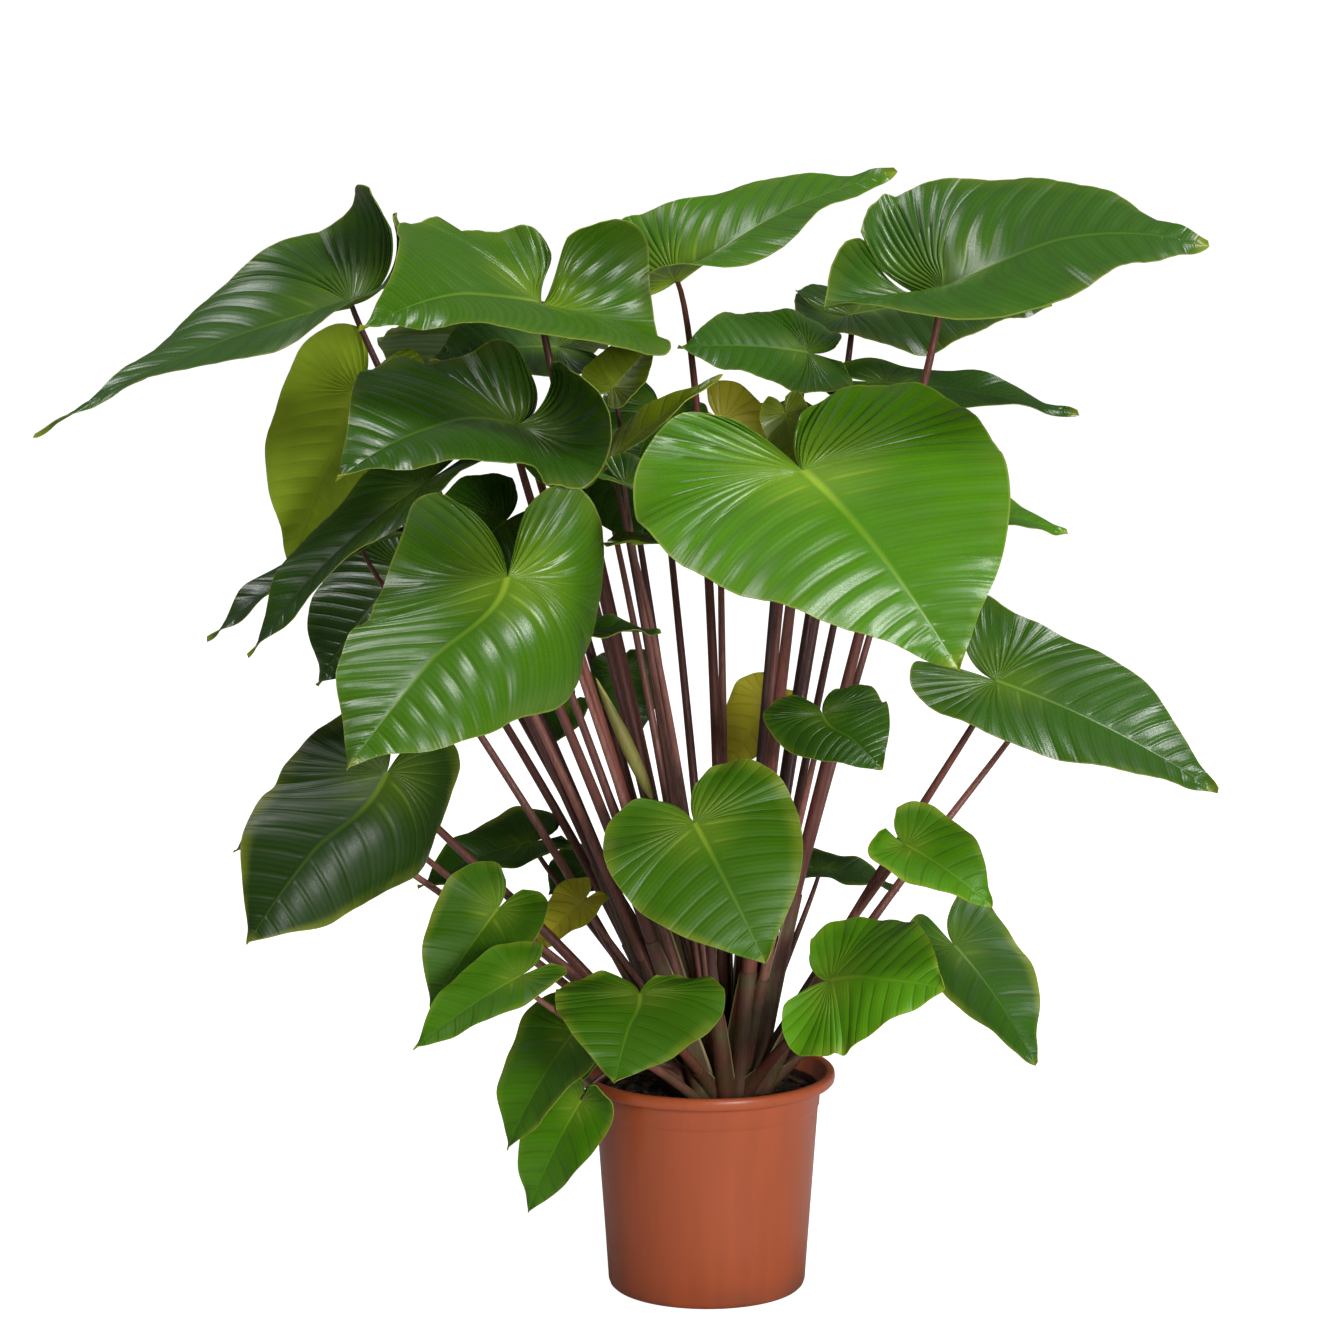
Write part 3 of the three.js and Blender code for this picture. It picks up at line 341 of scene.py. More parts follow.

# The leaves' places, given in millimetres and degrees: where a stalk meets its blade,
# where the tip is, which way the upper face looks, the width, and how the blade droops, folds,
# curls, leans, twists and waves. A pair is for the right and left half.
LEAVES = [
    dict(name="far_left", joint=(-355, 120, 975), tip=(-660, 0, 855), face=(-0.2, -0.35, 0.9),
         width=210, droop=24, lobe=(110, 120), fold=(30, 32), curl=(10, 8), twist=-15,
         point=0.62, unfold=26, wave=4),
    dict(name="hanging_left", joint=(-349, 145, 885), tip=(-419, 115, 710),
         face=(-0.5, 0.8, 0.1), width=158, tone="olive", droop=20, fold=10, wave=4),
    dict(name="top_left", joint=(-163, 0, 985), tip=(-325, -240, 980), face=(0, -0.35, 0.93),
         width=268, tone="fresh", droop=36, lobe=(60, 192), fold=(34, -6), curl=(26, 8),
         lean=(8, 52), point=0.7, wave=6),
    dict(name="dark_left", joint=(-190, -60, 875), tip=(-345, -270, 845),
         face=(0, -0.35, 0.93), width=265, droop=40, lobe=(90, 215), fold=(20, 8),
         curl=(20, 34), lean=(0, -20), point=0.35, wave=6),
    dict(name="front_left", joint=(-190, -200, 745), tip=(-330, -380, 595),
         face=(-0.3, -0.6, 0.75), width=251, tone="fresh", droop=28, lobe=(110, 120),
         fold=(0, -10), curl=(4, 92), sway=-8, lean=24, wave=5),
    dict(name="low_left", joint=(-308, -150, 550), tip=(-436, -240, 402),
         face=(-0.2, -0.75, 0.6), width=208, droop=30, lobe=(20, 20), fold=(0, -20),
         curl=(10, 85), lean=22, wave=5, bend=(-12, 30, 0)),
    dict(name="behind_low_left", joint=(-371, -60, 497), tip=(-462, -90, 460),
         face=(-0.2, -0.4, 0.9), width=90, tone="fresh", droop=20, fold=8, wave=3),
    dict(name="glossy_left", joint=(-280, -20, 810), tip=(-445, -80, 650),
         face=(-0.5, -0.4, 0.75), width=120, droop=26, fold=12, wave=5),
    dict(name="tip_left", joint=(-345, 60, 740), tip=(-495, 20, 650), face=(-0.4, -0.2, 0.9),
         width=90, droop=26, fold=12, wave=5, bend=(0, -30, 0)),
    dict(name="ragged_left", joint=(-305, 175, 700), tip=(-395, 140, 585),
         face=(-0.3, -0.6, 0.6), width=160, droop=30, fold=8, wave=7, bend=(10, -30, 0)),
    dict(name="top_middle", joint=(-30, 158, 996), tip=(190, 132, 1111), face=(0, -0.25, 0.97),
         width=180, tone="fresh", droop=24, lobe=(40, 60), fold=(32, 50), curl=(10, 14),
         lean=-6, unfold=34, wave=6, bend=(12, -65, 0)),
    dict(name="top_right", joint=(225, -30, 1000), tip=(480, -60, 1046), face=(0, -0.34, 0.94),
         width=262, droop=58, lobe=(125, 100), fold=(25, 36), curl=(8, 8), lean=(-42, 0),
         point=0, unfold=28, wave=6),
    dict(name="under_top_right", joint=(148, 185, 959), tip=(348, 155, 971),
         face=(0, -0.3, 0.95), width=198, droop=20, lobe=(70, 40), fold=(24, 10), curl=30,
         unfold=24, wave=4, bend=(0, -15, 0)),
    dict(name="dark_mid", joint=(98, 36, 935), tip=(-30, 8, 942), face=(0, -0.55, 0.85),
         width=140, droop=20, fold=8, curl=(24, 8), wave=4),
    dict(name="right_mid", joint=(175, 40, 905), tip=(365, 20, 875), face=(0.1, -0.35, 0.93),
         width=84, droop=14, fold=8, curl=10, wave=5, bend=(0, 20, 0)),
    dict(name="front_right", joint=(90, -150, 840), tip=(225, -370, 685),
         face=(-0.1, -0.6, 0.8), width=350, tone="fresh", droop=34, lobe=(70, 20),
         fold=(20, 2), curl=(30, 8), wave=5, bend=(0, 15, 0)),
    dict(name="tip_right", joint=(195, 60, 775), tip=(360, 75, 750), face=(0.2, -0.3, 0.9),
         width=110, tone="fresh", droop=30, fold=8, wave=3),
    dict(name="right", joint=(280, -80, 627), tip=(488, -150, 530), face=(0.35, -0.75, 0.5),
         width=165, droop=26, lobe=(20, 100), fold=(26, 5), curl=(20, 10), wave=5),
    dict(name="small_heart", joint=(110, -110, 600), tip=(166, -160, 555), face=(0, -0.7, 0.7),
         width=117, droop=20, fold=14, curl=10, lean=-27, wave=3),
    dict(name="right_low", joint=(192, -110, 471), tip=(272, -165, 422),
         face=(0.2, -0.75, 0.6), width=103, tone="fresh", droop=26, lobe=(120, 60),
         fold=(20, 6), wave=4, bend=(0, 55, 0)),
    dict(name="edge_right", joint=(115, 75, 410), tip=(195, 80, 385), face=(0.1, -0.3, 0.95),
         width=60, droop=26, fold=8, wave=3),
    dict(name="low_right", joint=(120, -120, 340), tip=(225, -200, 350),
         face=(-0.1, -0.5, 0.85), width=185, tone="fresh", droop=20, lobe=(40, 70),
         fold=(-12, 6), curl=(10, 10), lean=(16, 4), wave=4),
    dict(name="lowest_right", joint=(245, -30, 353), tip=(322, -80, 244),
         face=(0.5, -0.7, 0.5), width=112, droop=26, lobe=(40, 60), fold=(6, 20), wave=4),
    dict(name="front_mid", joint=(-13, -190, 508), tip=(53, -250, 386), face=(0.0, -0.85, 0.5),
         width=190, tone="fresh", droop=26, fold=8, curl=16, wave=4),
    dict(name="front_low", joint=(-66, -150, 333), tip=(-90, -230, 265),
         face=(0.0, -0.75, 0.65), width=165, tone="fresh", droop=50, fold=8, curl=16, lean=15,
         wave=4),
    dict(name="low_heart_left", joint=(-204, -110, 408), tip=(-269, -140, 316),
         face=(-0.1, -0.8, 0.55), width=110, tone="fresh", droop=20, fold=14, wave=4),
    dict(name="low_tip_left", joint=(-180, -190, 360), tip=(-280, -240, 300),
         face=(-0.2, -0.6, 0.75), width=80, tone="fresh", droop=20, fold=12, wave=3,
         bend=(-12, -30, 0)),
    dict(name="pale_low_left", joint=(-130, -80, 279), tip=(-196, -120, 169),
         face=(-0.5, -0.6, 0.6), width=112, tone="fresh", droop=26, fold=12, wave=4),
    dict(name="lowest_left", joint=(-124, -78, 209), tip=(-177, -84, 96),
         face=(-0.4, -0.8, 0.4), width=92, tone="fresh", droop=26, lobe=120, fold=10, wave=3,
         leave=(-0.35, -0.2, 1), arrive=(-0.5, -0.3, -0.9), bend=(0, 0, 15)),
    dict(name="rim_leaf", joint=(-110, -20, 250), tip=(-135, -55, 215), face=(-0.2, -0.3, 0.9),
         width=50, droop=20, fold=8, wave=2),
    dict(name="glossy_behind_left", joint=(-177, 70, 438), tip=(-291, 60, 392),
         face=(-0.1, -0.3, 0.95), width=110, droop=26, fold=10, wave=4),
    dict(name="small_behind_left", joint=(-120, 100, 405), tip=(-160, 85, 380),
         face=(0.0, -0.5, 0.85), width=75, droop=20, fold=10, wave=3),
    dict(name="yellow_low_left", joint=(-124, -15, 395), tip=(-172, -30, 347),
         face=(-0.3, -0.6, 0.7), width=60, tone="yellow", droop=20, fold=12, wave=3),
    dict(name="yellow_mid", joint=(65, 130, 570), tip=(20, 115, 505), face=(-0.1, -0.7, 0.7),
         width=80, tone="yellow", droop=20, fold=10, wave=4, bend=(-10, -15, 0)),
    dict(name="behind_mid_left", joint=(-85, 80, 610), tip=(-70, 60, 545),
         face=(0.1, -0.7, 0.7), width=70, droop=20, fold=10, wave=4),
    dict(name="edge_mid_left", joint=(-135, -125, 680), tip=(-45, -115, 680),
         face=(0.1, -0.1, 1.0), width=70, droop=20, fold=8, wave=3),
    dict(name="folded_mid", joint=(-80, -115, 825), tip=(-5, -130, 790), face=(0.3, -0.5, 0.8),
         width=60, droop=10, fold=30, wave=2, bend=(0, 15, 0)),
    dict(name="upper_small", joint=(-93, 22, 902), tip=(-52, 42, 944), face=(-0.3, -0.7, 0.5),
         width=70, tone="olive", droop=10, fold=20, wave=2),
    dict(name="upper_dark", joint=(-50, 125, 870), tip=(-75, 95, 805), face=(0.0, -0.8, 0.5),
         width=110, droop=20, fold=8, wave=4),
    dict(name="yellow_top", joint=(15, 150, 855), tip=(95, 135, 770), face=(0.1, -0.7, 0.7),
         width=90, tone="yellow", droop=20, fold=10, wave=3, bend=(0, -15, 0)),
    dict(name="edge_top", joint=(-95, -45, 840), tip=(15, -25, 920), face=(-0.3, -0.3, 0.9),
         width=60, tone="olive", droop=10, fold=14, wave=2, bend=(0, -15, 0)),
    dict(name="olive_top", joint=(75, -37, 883), tip=(90, -52, 823), face=(-0.3, -0.8, 0.4),
         width=50, tone="olive", droop=16, fold=14, wave=3),
    dict(name="under_top_left", joint=(-150, 95, 935), tip=(-275, 50, 925),
         face=(0.0, -0.5, 0.85), width=130, droop=20, fold=8, wave=4),
    dict(name="behind_front_left", joint=(-197, -60, 780), tip=(-280, -90, 700),
         face=(-0.2, -0.7, 0.6), width=130, droop=20, fold=8, wave=4, bend=(0, 15, 0)),
    dict(name="pale_mid_left", joint=(-137, 80, 577), tip=(-167, 90, 533),
         face=(-0.1, -0.7, 0.6), width=50, droop=20, fold=10, wave=2),
    dict(name="back_upper_left", joint=(-210, 200, 935), tip=(-295, 400, 845),
         face=(-0.1, 0.6, 0.8), width=230, droop=30, lobe=40, fold=6, curl=16, wave=5),
    dict(name="back_upper_right", joint=(145, 230, 835), tip=(205, 450, 720),
         face=(0.1, 0.6, 0.8), width=240, droop=30, lobe=40, fold=6, curl=16, wave=5),
    dict(name="back_left", joint=(-275, 290, 675), tip=(-335, 470, 565),
         face=(-0.3, 0.6, 0.75), width=200, droop=30, lobe=40, fold=8, curl=12, wave=5,
         base=(-5, 38), bend=(0, 15, 0)),
    dict(name="back_middle", joint=(40, 175, 395), tip=(15, 340, 310), face=(0, 0.6, 0.8),
         width=160, droop=30, lobe=30, fold=8, curl=12, wave=4),
    dict(name="back_right", joint=(335, 110, 580), tip=(415, 260, 515), face=(0.3, 0.5, 0.8),
         width=118, droop=30, lobe=30, fold=8, curl=12, wave=4),
    dict(name="back_low_left", joint=(-340, 60, 480), tip=(-385, 230, 395),
         face=(-0.3, 0.5, 0.8), width=118, droop=30, lobe=30, fold=8, curl=12, wave=4,
         bend=(0, -25, 0)),
    dict(name="back_low", joint=(145, 110, 260), tip=(180, 230, 220), face=(0.1, 0.5, 0.8),
         width=105, droop=30, lobe=30, fold=8, curl=12, wave=3),
    dict(name="folded_low", joint=(-110, 20, 830), tip=(-45, 0, 750), face=(-0.6, -0.7, 0.3),
         width=84, droop=16, fold=24, wave=3),
    dict(name="edge_front", joint=(-75, -130, 770), tip=(0, -140, 765), face=(0, -0.1, 1),
         width=44, tone="olive", droop=20, fold=12, wave=2, bend=(12, 15, 0)),
    dict(name="dark_under", joint=(-150, 60, 845), tip=(-105, 45, 790), face=(0.1, -0.8, 0.5),
         width=92, droop=20, fold=8, wave=3, bend=(0, -15, 0)),
]
YOUNG_STALK = dict(name="young", joint=(-54, -30, 500), tip=(-53, -120, 501),
                   face=(-0.41, -0.04, 0.91), width=60)

# The stalks: fleshy, reddish brown, a little paler on the young ones, each as stout as its
# leaf needs. They rise from one crown in the soil and turn up under their blades.
MM_IN_METRE = 1000
CROWN = Vector((22, 0, 0))
CROWN_SPREAD = (0.12, 0.168)
STALK_START = 189
FOOT_RADIUS = (4.6, 0.0115)
TOP_RADIUS = (1.6, 0.0055)
STALK_COLOUR = "#8c4a3c"
STALK_DARK_COLOUR = "#4a2a26"
STALK_PALE_COLOUR = "#b0776a"
STALK_FOOT_COLOUR = "#5c5230"
STALK_TURNS = 22
STALK_SIDES = 14


def leaf_axes(leaf):
    """Where a leaf's blade starts, and the directions along it, out of its face and sideways."""
    joint = Vector(leaf["joint"])
    along = Vector(leaf["tip"]) - joint
    length = along.length
    along.normalize()
    face = Vector(leaf["face"])
    face = (face - along * face.dot(along)).normalized()
    return joint, along, face, along.cross(face), length


def stalk_line(leaf):
    """The four control points of a stalk, and its radius at the foot and under the blade."""
    joint, along, face, _, _ = leaf_axes(leaf)
    droop = math.radians(leaf.get("droop", 0)) / 2
    normal = face * math.cos(droop) - along * math.sin(droop)
    foot_radius = FOOT_RADIUS[0] + FOOT_RADIUS[1] * leaf["width"]
    top_radius = TOP_RADIUS[0] + TOP_RADIUS[1] * leaf["width"]
    fold = leaf.get("fold", 0)
    lowest = min(fold) if isinstance(fold, tuple) else fold
    hanging = math.radians(max(0, -lowest))
    end = joint - normal * (0.7 + top_radius * math.sin(hanging))
    base = Vector((*leaf.get("base", (CROWN.x + CROWN_SPREAD[0] * (joint.x - CROWN.x),
                                      CROWN.y + CROWN_SPREAD[1] * (joint.y - CROWN.y))),
                   STALK_START))
    chord = end - base
    reach = chord.length
    chord.normalize()
    leave = Vector(leaf["leave"]) if "leave" in leaf else chord + Vector((0, 0, 0.5))
    arrive = Vector(leaf["arrive"]) if "arrive" in leaf else normal * 0.5 + chord
    bend = Vector(leaf.get("bend", (0, 0, 0)))
    start = base + leave.normalized() * reach * 0.33 + bend
    finish = end - arrive.normalized() * min(50, reach * 0.25) + bend
    return (base, start, finish, end), foot_radius, top_radius


def on_curve(line, t):
    """The point at t of a stalk's line, and the direction there."""
    a, b, c, d = line
    s = 1 - t
    point = a * s ** 3 + b * 3 * s * s * t + c * 3 * s * t * t + d * t ** 3
    heading = (b - a) * s * s + (c - b) * 2 * s * t + (d - c) * t * t
    return point, heading.normalized()


def painted(piece, name, values):
    """Gives every point of a piece a value of its own for its material."""
    attribute = piece.data.attributes.new(name, "FLOAT_VECTOR", "POINT")
    attribute.data.foreach_set("vector", [x for value in values for x in value])


def own_value(tree, name):
    """The value that a piece's points were painted with."""
    return add_node(tree, "ShaderNodeAttribute", {}, attribute_name=name).outputs["Vector"]


tubes = []
for leaf in [*LEAVES, YOUNG_STALK]:
    line, foot_radius, top_radius = stalk_line(leaf)
    bpy.ops.object.select_all(action="DESELECT")
    bpy.ops.curve.primitive_bezier_curve_add(location=(0, 0, 0))
    tube = bpy.context.object
    spline = tube.data.splines[0]
    ends = ((line[0], line[0] * 2 - line[1], line[1], foot_radius),
            (line[3], line[2], line[3] * 2 - line[2], top_radius))
    for knot, (point, left, right, thickness) in zip(spline.bezier_points, ends):
        knot.handle_left_type = knot.handle_right_type = "FREE"
        knot.co, knot.handle_left, knot.handle_right = (
            p / MM_IN_METRE for p in (point, left, right))
        knot.radius = thickness
    tube.data.resolution_u = STALK_TURNS
    tube.data.bevel_depth = 0.001
    tube.data.bevel_resolution = STALK_SIDES // 2 - 2
    tube.data.use_fill_caps = True
    bpy.ops.object.convert(target="MESH")
    tube = bpy.context.object
    rings = len(tube.data.vertices) // (STALK_TURNS + 1)
    tint = dice.random()
    slim = 1 - min(1, (leaf["width"] - 50) / 130)
    painted(tube, "stalk", [(i // rings / STALK_TURNS, tint, slim)
                            for i in range(len(tube.data.vertices))])
    tubes.append(tube)
bpy.ops.object.select_all(action="DESELECT")
for tube in tubes:
    tube.select_set(True)
bpy.context.view_layer.objects.active = tubes[0]
bpy.ops.object.join()
stalks = bpy.context.object
stalks.name = "leaf_stalks"
bpy.ops.object.shade_smooth()

material, tree, shader, place = new_material("stalk_skin", 0.42)
patches, streaks, grain = surface_marks(tree, place, 30, 420, 1600)
own = split(tree, own_value(tree, "stalk"))
skin = blended(tree, own["Y"], linear(STALK_COLOUR), linear(STALK_DARK_COLOUR))
pale = product(tree, own["Z"], sums(tree, "SUBTRACT", 1, own["Y"]))
skin = blended(tree, pale, skin, linear(STALK_PALE_COLOUR))
skin = blended(tree, product(tree, streaks, 0.45), skin, linear(STALK_DARK_COLOUR))
foot = ramped(tree, split(tree, place)["Z"], 0.42, 0.2, 0, 0.85)
skin = blended(tree, product(tree, foot, patches), skin, linear(STALK_FOOT_COLOUR))
finished(tree, shader, skin, ramped(tree, patches, 0, 1, 0.34, 0.5),
         sums(tree, "ADD", streaks, product(tree, grain, 0.3)), 0.35, 0.0005)
stalks.data.materials.append(material)
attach(stalks, "root")
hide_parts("stalks")

# The sheaths: the foot of each stout stalk is a thin open wrap round the next younger stalk,
# brownish green, with papery pale margins that run out up the stalk.
SHEATH_COLOUR = "#5f5631"
SHEATH_FLUSH_COLOUR = "#6d3d31"
SHEATH_MARGIN_COLOUR = "#b9b07c"
SHEATH_LEAST_BLADE = 84
SHEATH_STEPS = 26
SHEATH_SPANS = 16
SHEATH_WRAPPED = 0.55
SHEATH_WRAP_ANGLE = math.radians(105)
SHEATH_FLARE = math.radians(18)


def built(name, points, faces):
    """A new piece of these points, in metres, and faces."""
    bpy.ops.object.select_all(action="DESELECT")
    bpy.ops.mesh.primitive_plane_add(location=(0, 0, 0))
    piece = bpy.context.object
    piece.name = name
    piece.data.clear_geometry()
    piece.data.from_pydata(points, [], faces)
    return piece


points = []
quads = []
values = []
for leaf in LEAVES:
    if leaf["width"] < SHEATH_LEAST_BLADE:
        continue
    line, foot_radius, top_radius = stalk_line(leaf)
    height = 0.16 + 0.14 * dice.random()
    outward = Vector((line[3].x - CROWN.x, line[3].y - CROWN.y, 0)).normalized()
    start = len(points)
    tint = dice.random()
    for step in range(SHEATH_STEPS + 1):
        t = 0.01 + height * step / SHEATH_STEPS
        middle, heading = on_curve(line, t)
        back = (outward - heading * outward.dot(heading)).normalized()
        across = heading.cross(back)
        run_out = 1 - step / SHEATH_STEPS
        thickness = foot_radius + (top_radius - foot_radius) * t + 0.5
        wing = (2 + leaf["width"] * 0.045) * run_out ** 0.8
        for span in range(SHEATH_SPANS + 1):
            u = 2 * span / SHEATH_SPANS - 1
            angle = SHEATH_WRAP_ANGLE * min(1, abs(u) / SHEATH_WRAPPED)
            beyond = max(0, (abs(u) - SHEATH_WRAPPED) / (1 - SHEATH_WRAPPED)) * wing
            x = -math.sin(angle) * thickness - beyond * math.sin(SHEATH_FLARE)
            y = math.cos(angle) * thickness - beyond
            points.append((middle - across * x * math.copysign(1, u) + back * y) / MM_IN_METRE)
            values.append((abs(u), tint, t / height))
    width = SHEATH_SPANS + 1
    quads += [(start + r * width + k, start + r * width + k + 1, start + (r + 1) * width + k + 1,
               start + (r + 1) * width + k)
              for r in range(SHEATH_STEPS) for k in range(SHEATH_SPANS)]
sheaths = built("stalk_sheaths", points, quads)
painted(sheaths, "sheath", values)
wall = sheaths.modifiers.new("wall", "SOLIDIFY")
wall.thickness = 0.0006
wall.offset = 1
bpy.ops.object.modifier_apply(modifier=wall.name)
bpy.ops.object.shade_smooth_by_angle(angle=math.radians(60))

material, tree, shader, place = new_material("sheath_skin", 0.5)
patches, streaks, grain = surface_marks(tree, place, 40, 500, 1600)
skin = blended(tree, patches, linear(SHEATH_COLOUR), linear(SHEATH_FLUSH_COLOUR))
skin = blended(tree, product(tree, streaks, 0.4), skin, linear(STALK_DARK_COLOUR))
margin = ramped(tree, split(tree, own_value(tree, "sheath"))["X"], 0.84, 0.97, 0, 0.8)
skin = blended(tree, margin, skin, linear(SHEATH_MARGIN_COLOUR))
finished(tree, shader, skin, ramped(tree, grain, 0, 1, 0.4, 0.6),
         sums(tree, "ADD", streaks, grain), 0.3, 0.0005)
sheaths.data.materials.append(material)
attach(sheaths, "root")

# The blades: heart-shaped, leathery and glossy, each one thin piece. Sunken veins run from
# the midrib to the margin in parallel and quilt the face between them; the midrib stands out
# below, and the margin is a fine pale line.
BLADE_THICKNESS = 0.8
KEEL_HEIGHT = 3.2
KEEL_WIDTH = 0.03
LARGE_WIDTH = 115
HIGH_JOINT = 590
HIGH_QUILT = 0.0085
LOW_QUILT = 0.0045
VEINS_AND_COLUMNS = {"high": (26, 20), "low": (20, 20), "small": (14, 12)}
MARGIN_WAVES = 3
MARGIN_RIPPLES = 7
FACETS_A_VEIN = 4
MARGIN = [(0.2, -0.24), (0.48, -0.31), (0.8, -0.24), (0.98, -0.04), (0.98, 0.19),
          (0.86, 0.43), (0.61, 0.66), (0.25, 0.86), (0, 1)]
# The colours of each tone: upper face, underside and veins. The yellow colours and the olive
# underside are lightened as painted light for the light that shines through these leaves.
BLADE_TONES = {
    "fresh": ("#52900a", "#7c9c30", "#a8c63c"),
    "deep": ("#33600f", "#587432", "#7fa032"),
    "olive": ("#6a7d12", "#9ab626", "#a3b834"),
    "yellow": ("#d3c834", "#dbd042", "#e0d770"),
}
MARGIN_COLOUR = "#a9b650"
TIP_COLOUR = "#b3bd38"
# Where each listed leaf lies between the darker and the lighter copy of its colour: partly the
# leaf's own tone, partly painted shade for leaves in the shadow of others and painted light for
# leaves lit through from behind.
BLADE_TONE_AND_PAINTED_LIGHT = {
    "front_right": 0.42, "front_left": 0.14, "dark_left": 0.3, "low_left": 0, "top_left": 0.05,
    "far_left": 0.5, "under_top_right": 0.1, "top_middle": 0.2, "top_right": 0.6,
    "lowest_right": 0.9, "low_right": 0.9, "right_low": 0.7, "low_heart_left": 0.2,
    "hanging_left": 0.85, "yellow_mid": 1, "yellow_low_left": 1, "yellow_top": 0.9,
}


def smooth(value, start, end):
    """0 before start, 1 after end, and eased between them."""
    t = min(1, max(0, (value - start) / (end - start)))
    return t * t * (3 - 2 * t)


def margin_point(row):
    """The point of the flat margin at row, on a smooth curve through its points."""
    place = row * (len(MARGIN) - 1)
    k = min(int(place), len(MARGIN) - 2)
    t = place - k
    p = [Vector(MARGIN[i]) if 0 <= i < len(MARGIN) else None for i in range(k - 1, k + 3)]
    p[0] = p[0] if p[0] is not None else p[1] * 2 - p[2]
    p[3] = p[3] if p[3] is not None else p[2] * 2 - p[1]
    v1 = (p[2] - p[0]) / 2
    v2 = (p[3] - p[1]) / 2
    return (p[1] * (2 * t ** 3 - 3 * t * t + 1) + v1 * (t ** 3 - 2 * t * t + t)
            + p[2] * (3 * t * t - 2 * t ** 3) + v2 * (t ** 3 - t * t))


def flat_point(row, column):
    """The point of the flat half blade at row along the margin, column out from the midrib."""
    margin = margin_point(row)
    start = max(0, (margin.y - 0.27) / 0.73)
    opened = smooth(row, 0, 0.35)
    bend_x = (0.1 + 0.45 * opened) * margin.x
    bend_y = start + (0.65 - 0.3 * opened) * (margin.y - start)
    a, b, c = (1 - column) ** 2, 2 * column * (1 - column), column ** 2
    return b * bend_x + c * margin.x, a * start + b * bend_y + c * margin.y


def both_sides(value):
    """An angle of a leaf, given once or for its right and left half, in radians for each."""
    pair = value if isinstance(value, tuple) else (value, value)
    return [math.radians(angle) for angle in pair]


def blade_surface(leaf):
    """A function that bends a point of the flat blade into the leaf's place."""
    joint, along, face, side, length = leaf_axes(leaf)
    droop = math.radians(leaf.get("droop", 0))
    fold, curl, lobe, lean = (both_sides(leaf.get(name, 0))
                              for name in ("fold", "curl", "lobe", "lean"))
    twist, unfold = (math.radians(leaf.get(name, 0)) for name in ("twist", "unfold"))
    half = leaf["width"] / 2
    arc = length * droop / (2 * math.sin(droop / 2))

    def bent(x, y, row, column):
        hand = 1 if x < 0 else 0
        if y >= 0:
            angle = droop / 2 - droop * y
            ahead = arc * (math.sin(droop / 2) - math.sin(angle)) / droop
            up = arc * (math.cos(angle) - math.cos(droop / 2)) / droop
        else:
            angle = droop / 2 - lobe[hand] * min(1, -y / 0.3) / 2
            ahead = arc * y * math.cos(angle)
            up = arc * y * math.sin(angle)
        opened = fold[hand] - unfold * smooth(y, 0, 0.5)
        r = abs(x)
        if abs(curl[hand]) < 1e-6:
            across, rise = r * math.cos(opened), r * math.sin(opened)
        else:
            end = opened - curl[hand] * r
            across = (math.sin(opened) - math.sin(end)) / curl[hand]
            rise = (math.cos(end) - math.cos(opened)) / curl[hand]
        wave = leaf.get("wave", 0) * column ** 2 * math.sin(
            math.tau * MARGIN_WAVES * row + (1.7 if x < 0 else 0))
        wave += 0.009 * leaf["width"] * column ** 3 * math.sin(
            math.tau * MARGIN_RIPPLES * row + 40 * leaf["width"])
        turn = twist * smooth(y, 0.3, 0.8)
        bow = 4 * leaf.get("sway", 0) * y * (1 - max(0, y))
        shared = (lean[0] + lean[1]) / 2
        leaning = shared + (lean[hand] - shared) * smooth(r, 0, 0.3)
        skew = leaning * (1 - smooth(y, 0, 0.5))
        out = math.copysign(across * half, x) * (1 - leaf.get("point", 0) * smooth(y, 0.3, 0.85))
        sideways = out * math.cos(skew) - ahead * math.sin(skew)
        ahead = out * math.sin(skew) + ahead * math.cos(skew)
        lift = rise * half + wave
        u = sideways * math.cos(turn) - lift * math.sin(turn)
        v = sideways * math.sin(turn) + lift * math.cos(turn)
        return (joint + along * (ahead - v * math.sin(angle)) + face * (up + v * math.cos(angle))
                + side * (u + bow))
    return bent


def held_inside(points, low, high):
    """Draws in the outermost band of a piece where it would stand out of the whole plant's box."""
    band, inside = 0.04, 0.0002
    for axis in range(3):
        for side, limit in ((-1, low[axis]), (1, high[axis])):
            edge = side * limit - inside
            over = max(side * point[axis] for point in points) - edge
            if over > 0:
                for point in points:
                    depth = side * point[axis] - edge + band
                    point[axis] -= side * max(0, depth) * over / (band + over)


# The veins, margin, heart and tip as masks over a blade, from its own values: how far out from
# the midrib, the count of side veins passed, and the place on the flat blade.
veins, veins_in, veins_out = new_group(
    "blade_veins",
    [("Blade", "NodeSocketVector"), ("Flat", "NodeSocketVector"), ("Uneven", "NodeSocketFloat")],
    ["Vein", "Rib", "Midrib", "Margin", "Rim", "Heart", "Tip"],
)
own = split(veins, veins_in.outputs["Blade"])
flat = split(veins, veins_in.outputs["Flat"])
out = sums(veins, "ABSOLUTE", own["X"])
uneven = product(veins, sums(veins, "SUBTRACT", veins_in.outputs["Uneven"], 0.5), 0.05)
count = sums(veins, "ADD", own["Y"], uneven)
main = ramped(veins, sums(veins, "PINGPONG", count, 0.5), 0.17, 0.0)
fine = ramped(veins, sums(veins, "PINGPONG", product(veins, count, 4), 0.5), 0.5, 0.05)
side_start = ramped(veins, out, 0.02, 0.14)
reach = add_node(veins, "ShaderNodeVectorMath",
                 {0: add_node(veins, "ShaderNodeVectorMath",
                              {0: veins_in.outputs["Flat"], 1: (0.5, 1, 0)},
                              operation="MULTIPLY").outputs[0]}, operation="LENGTH")
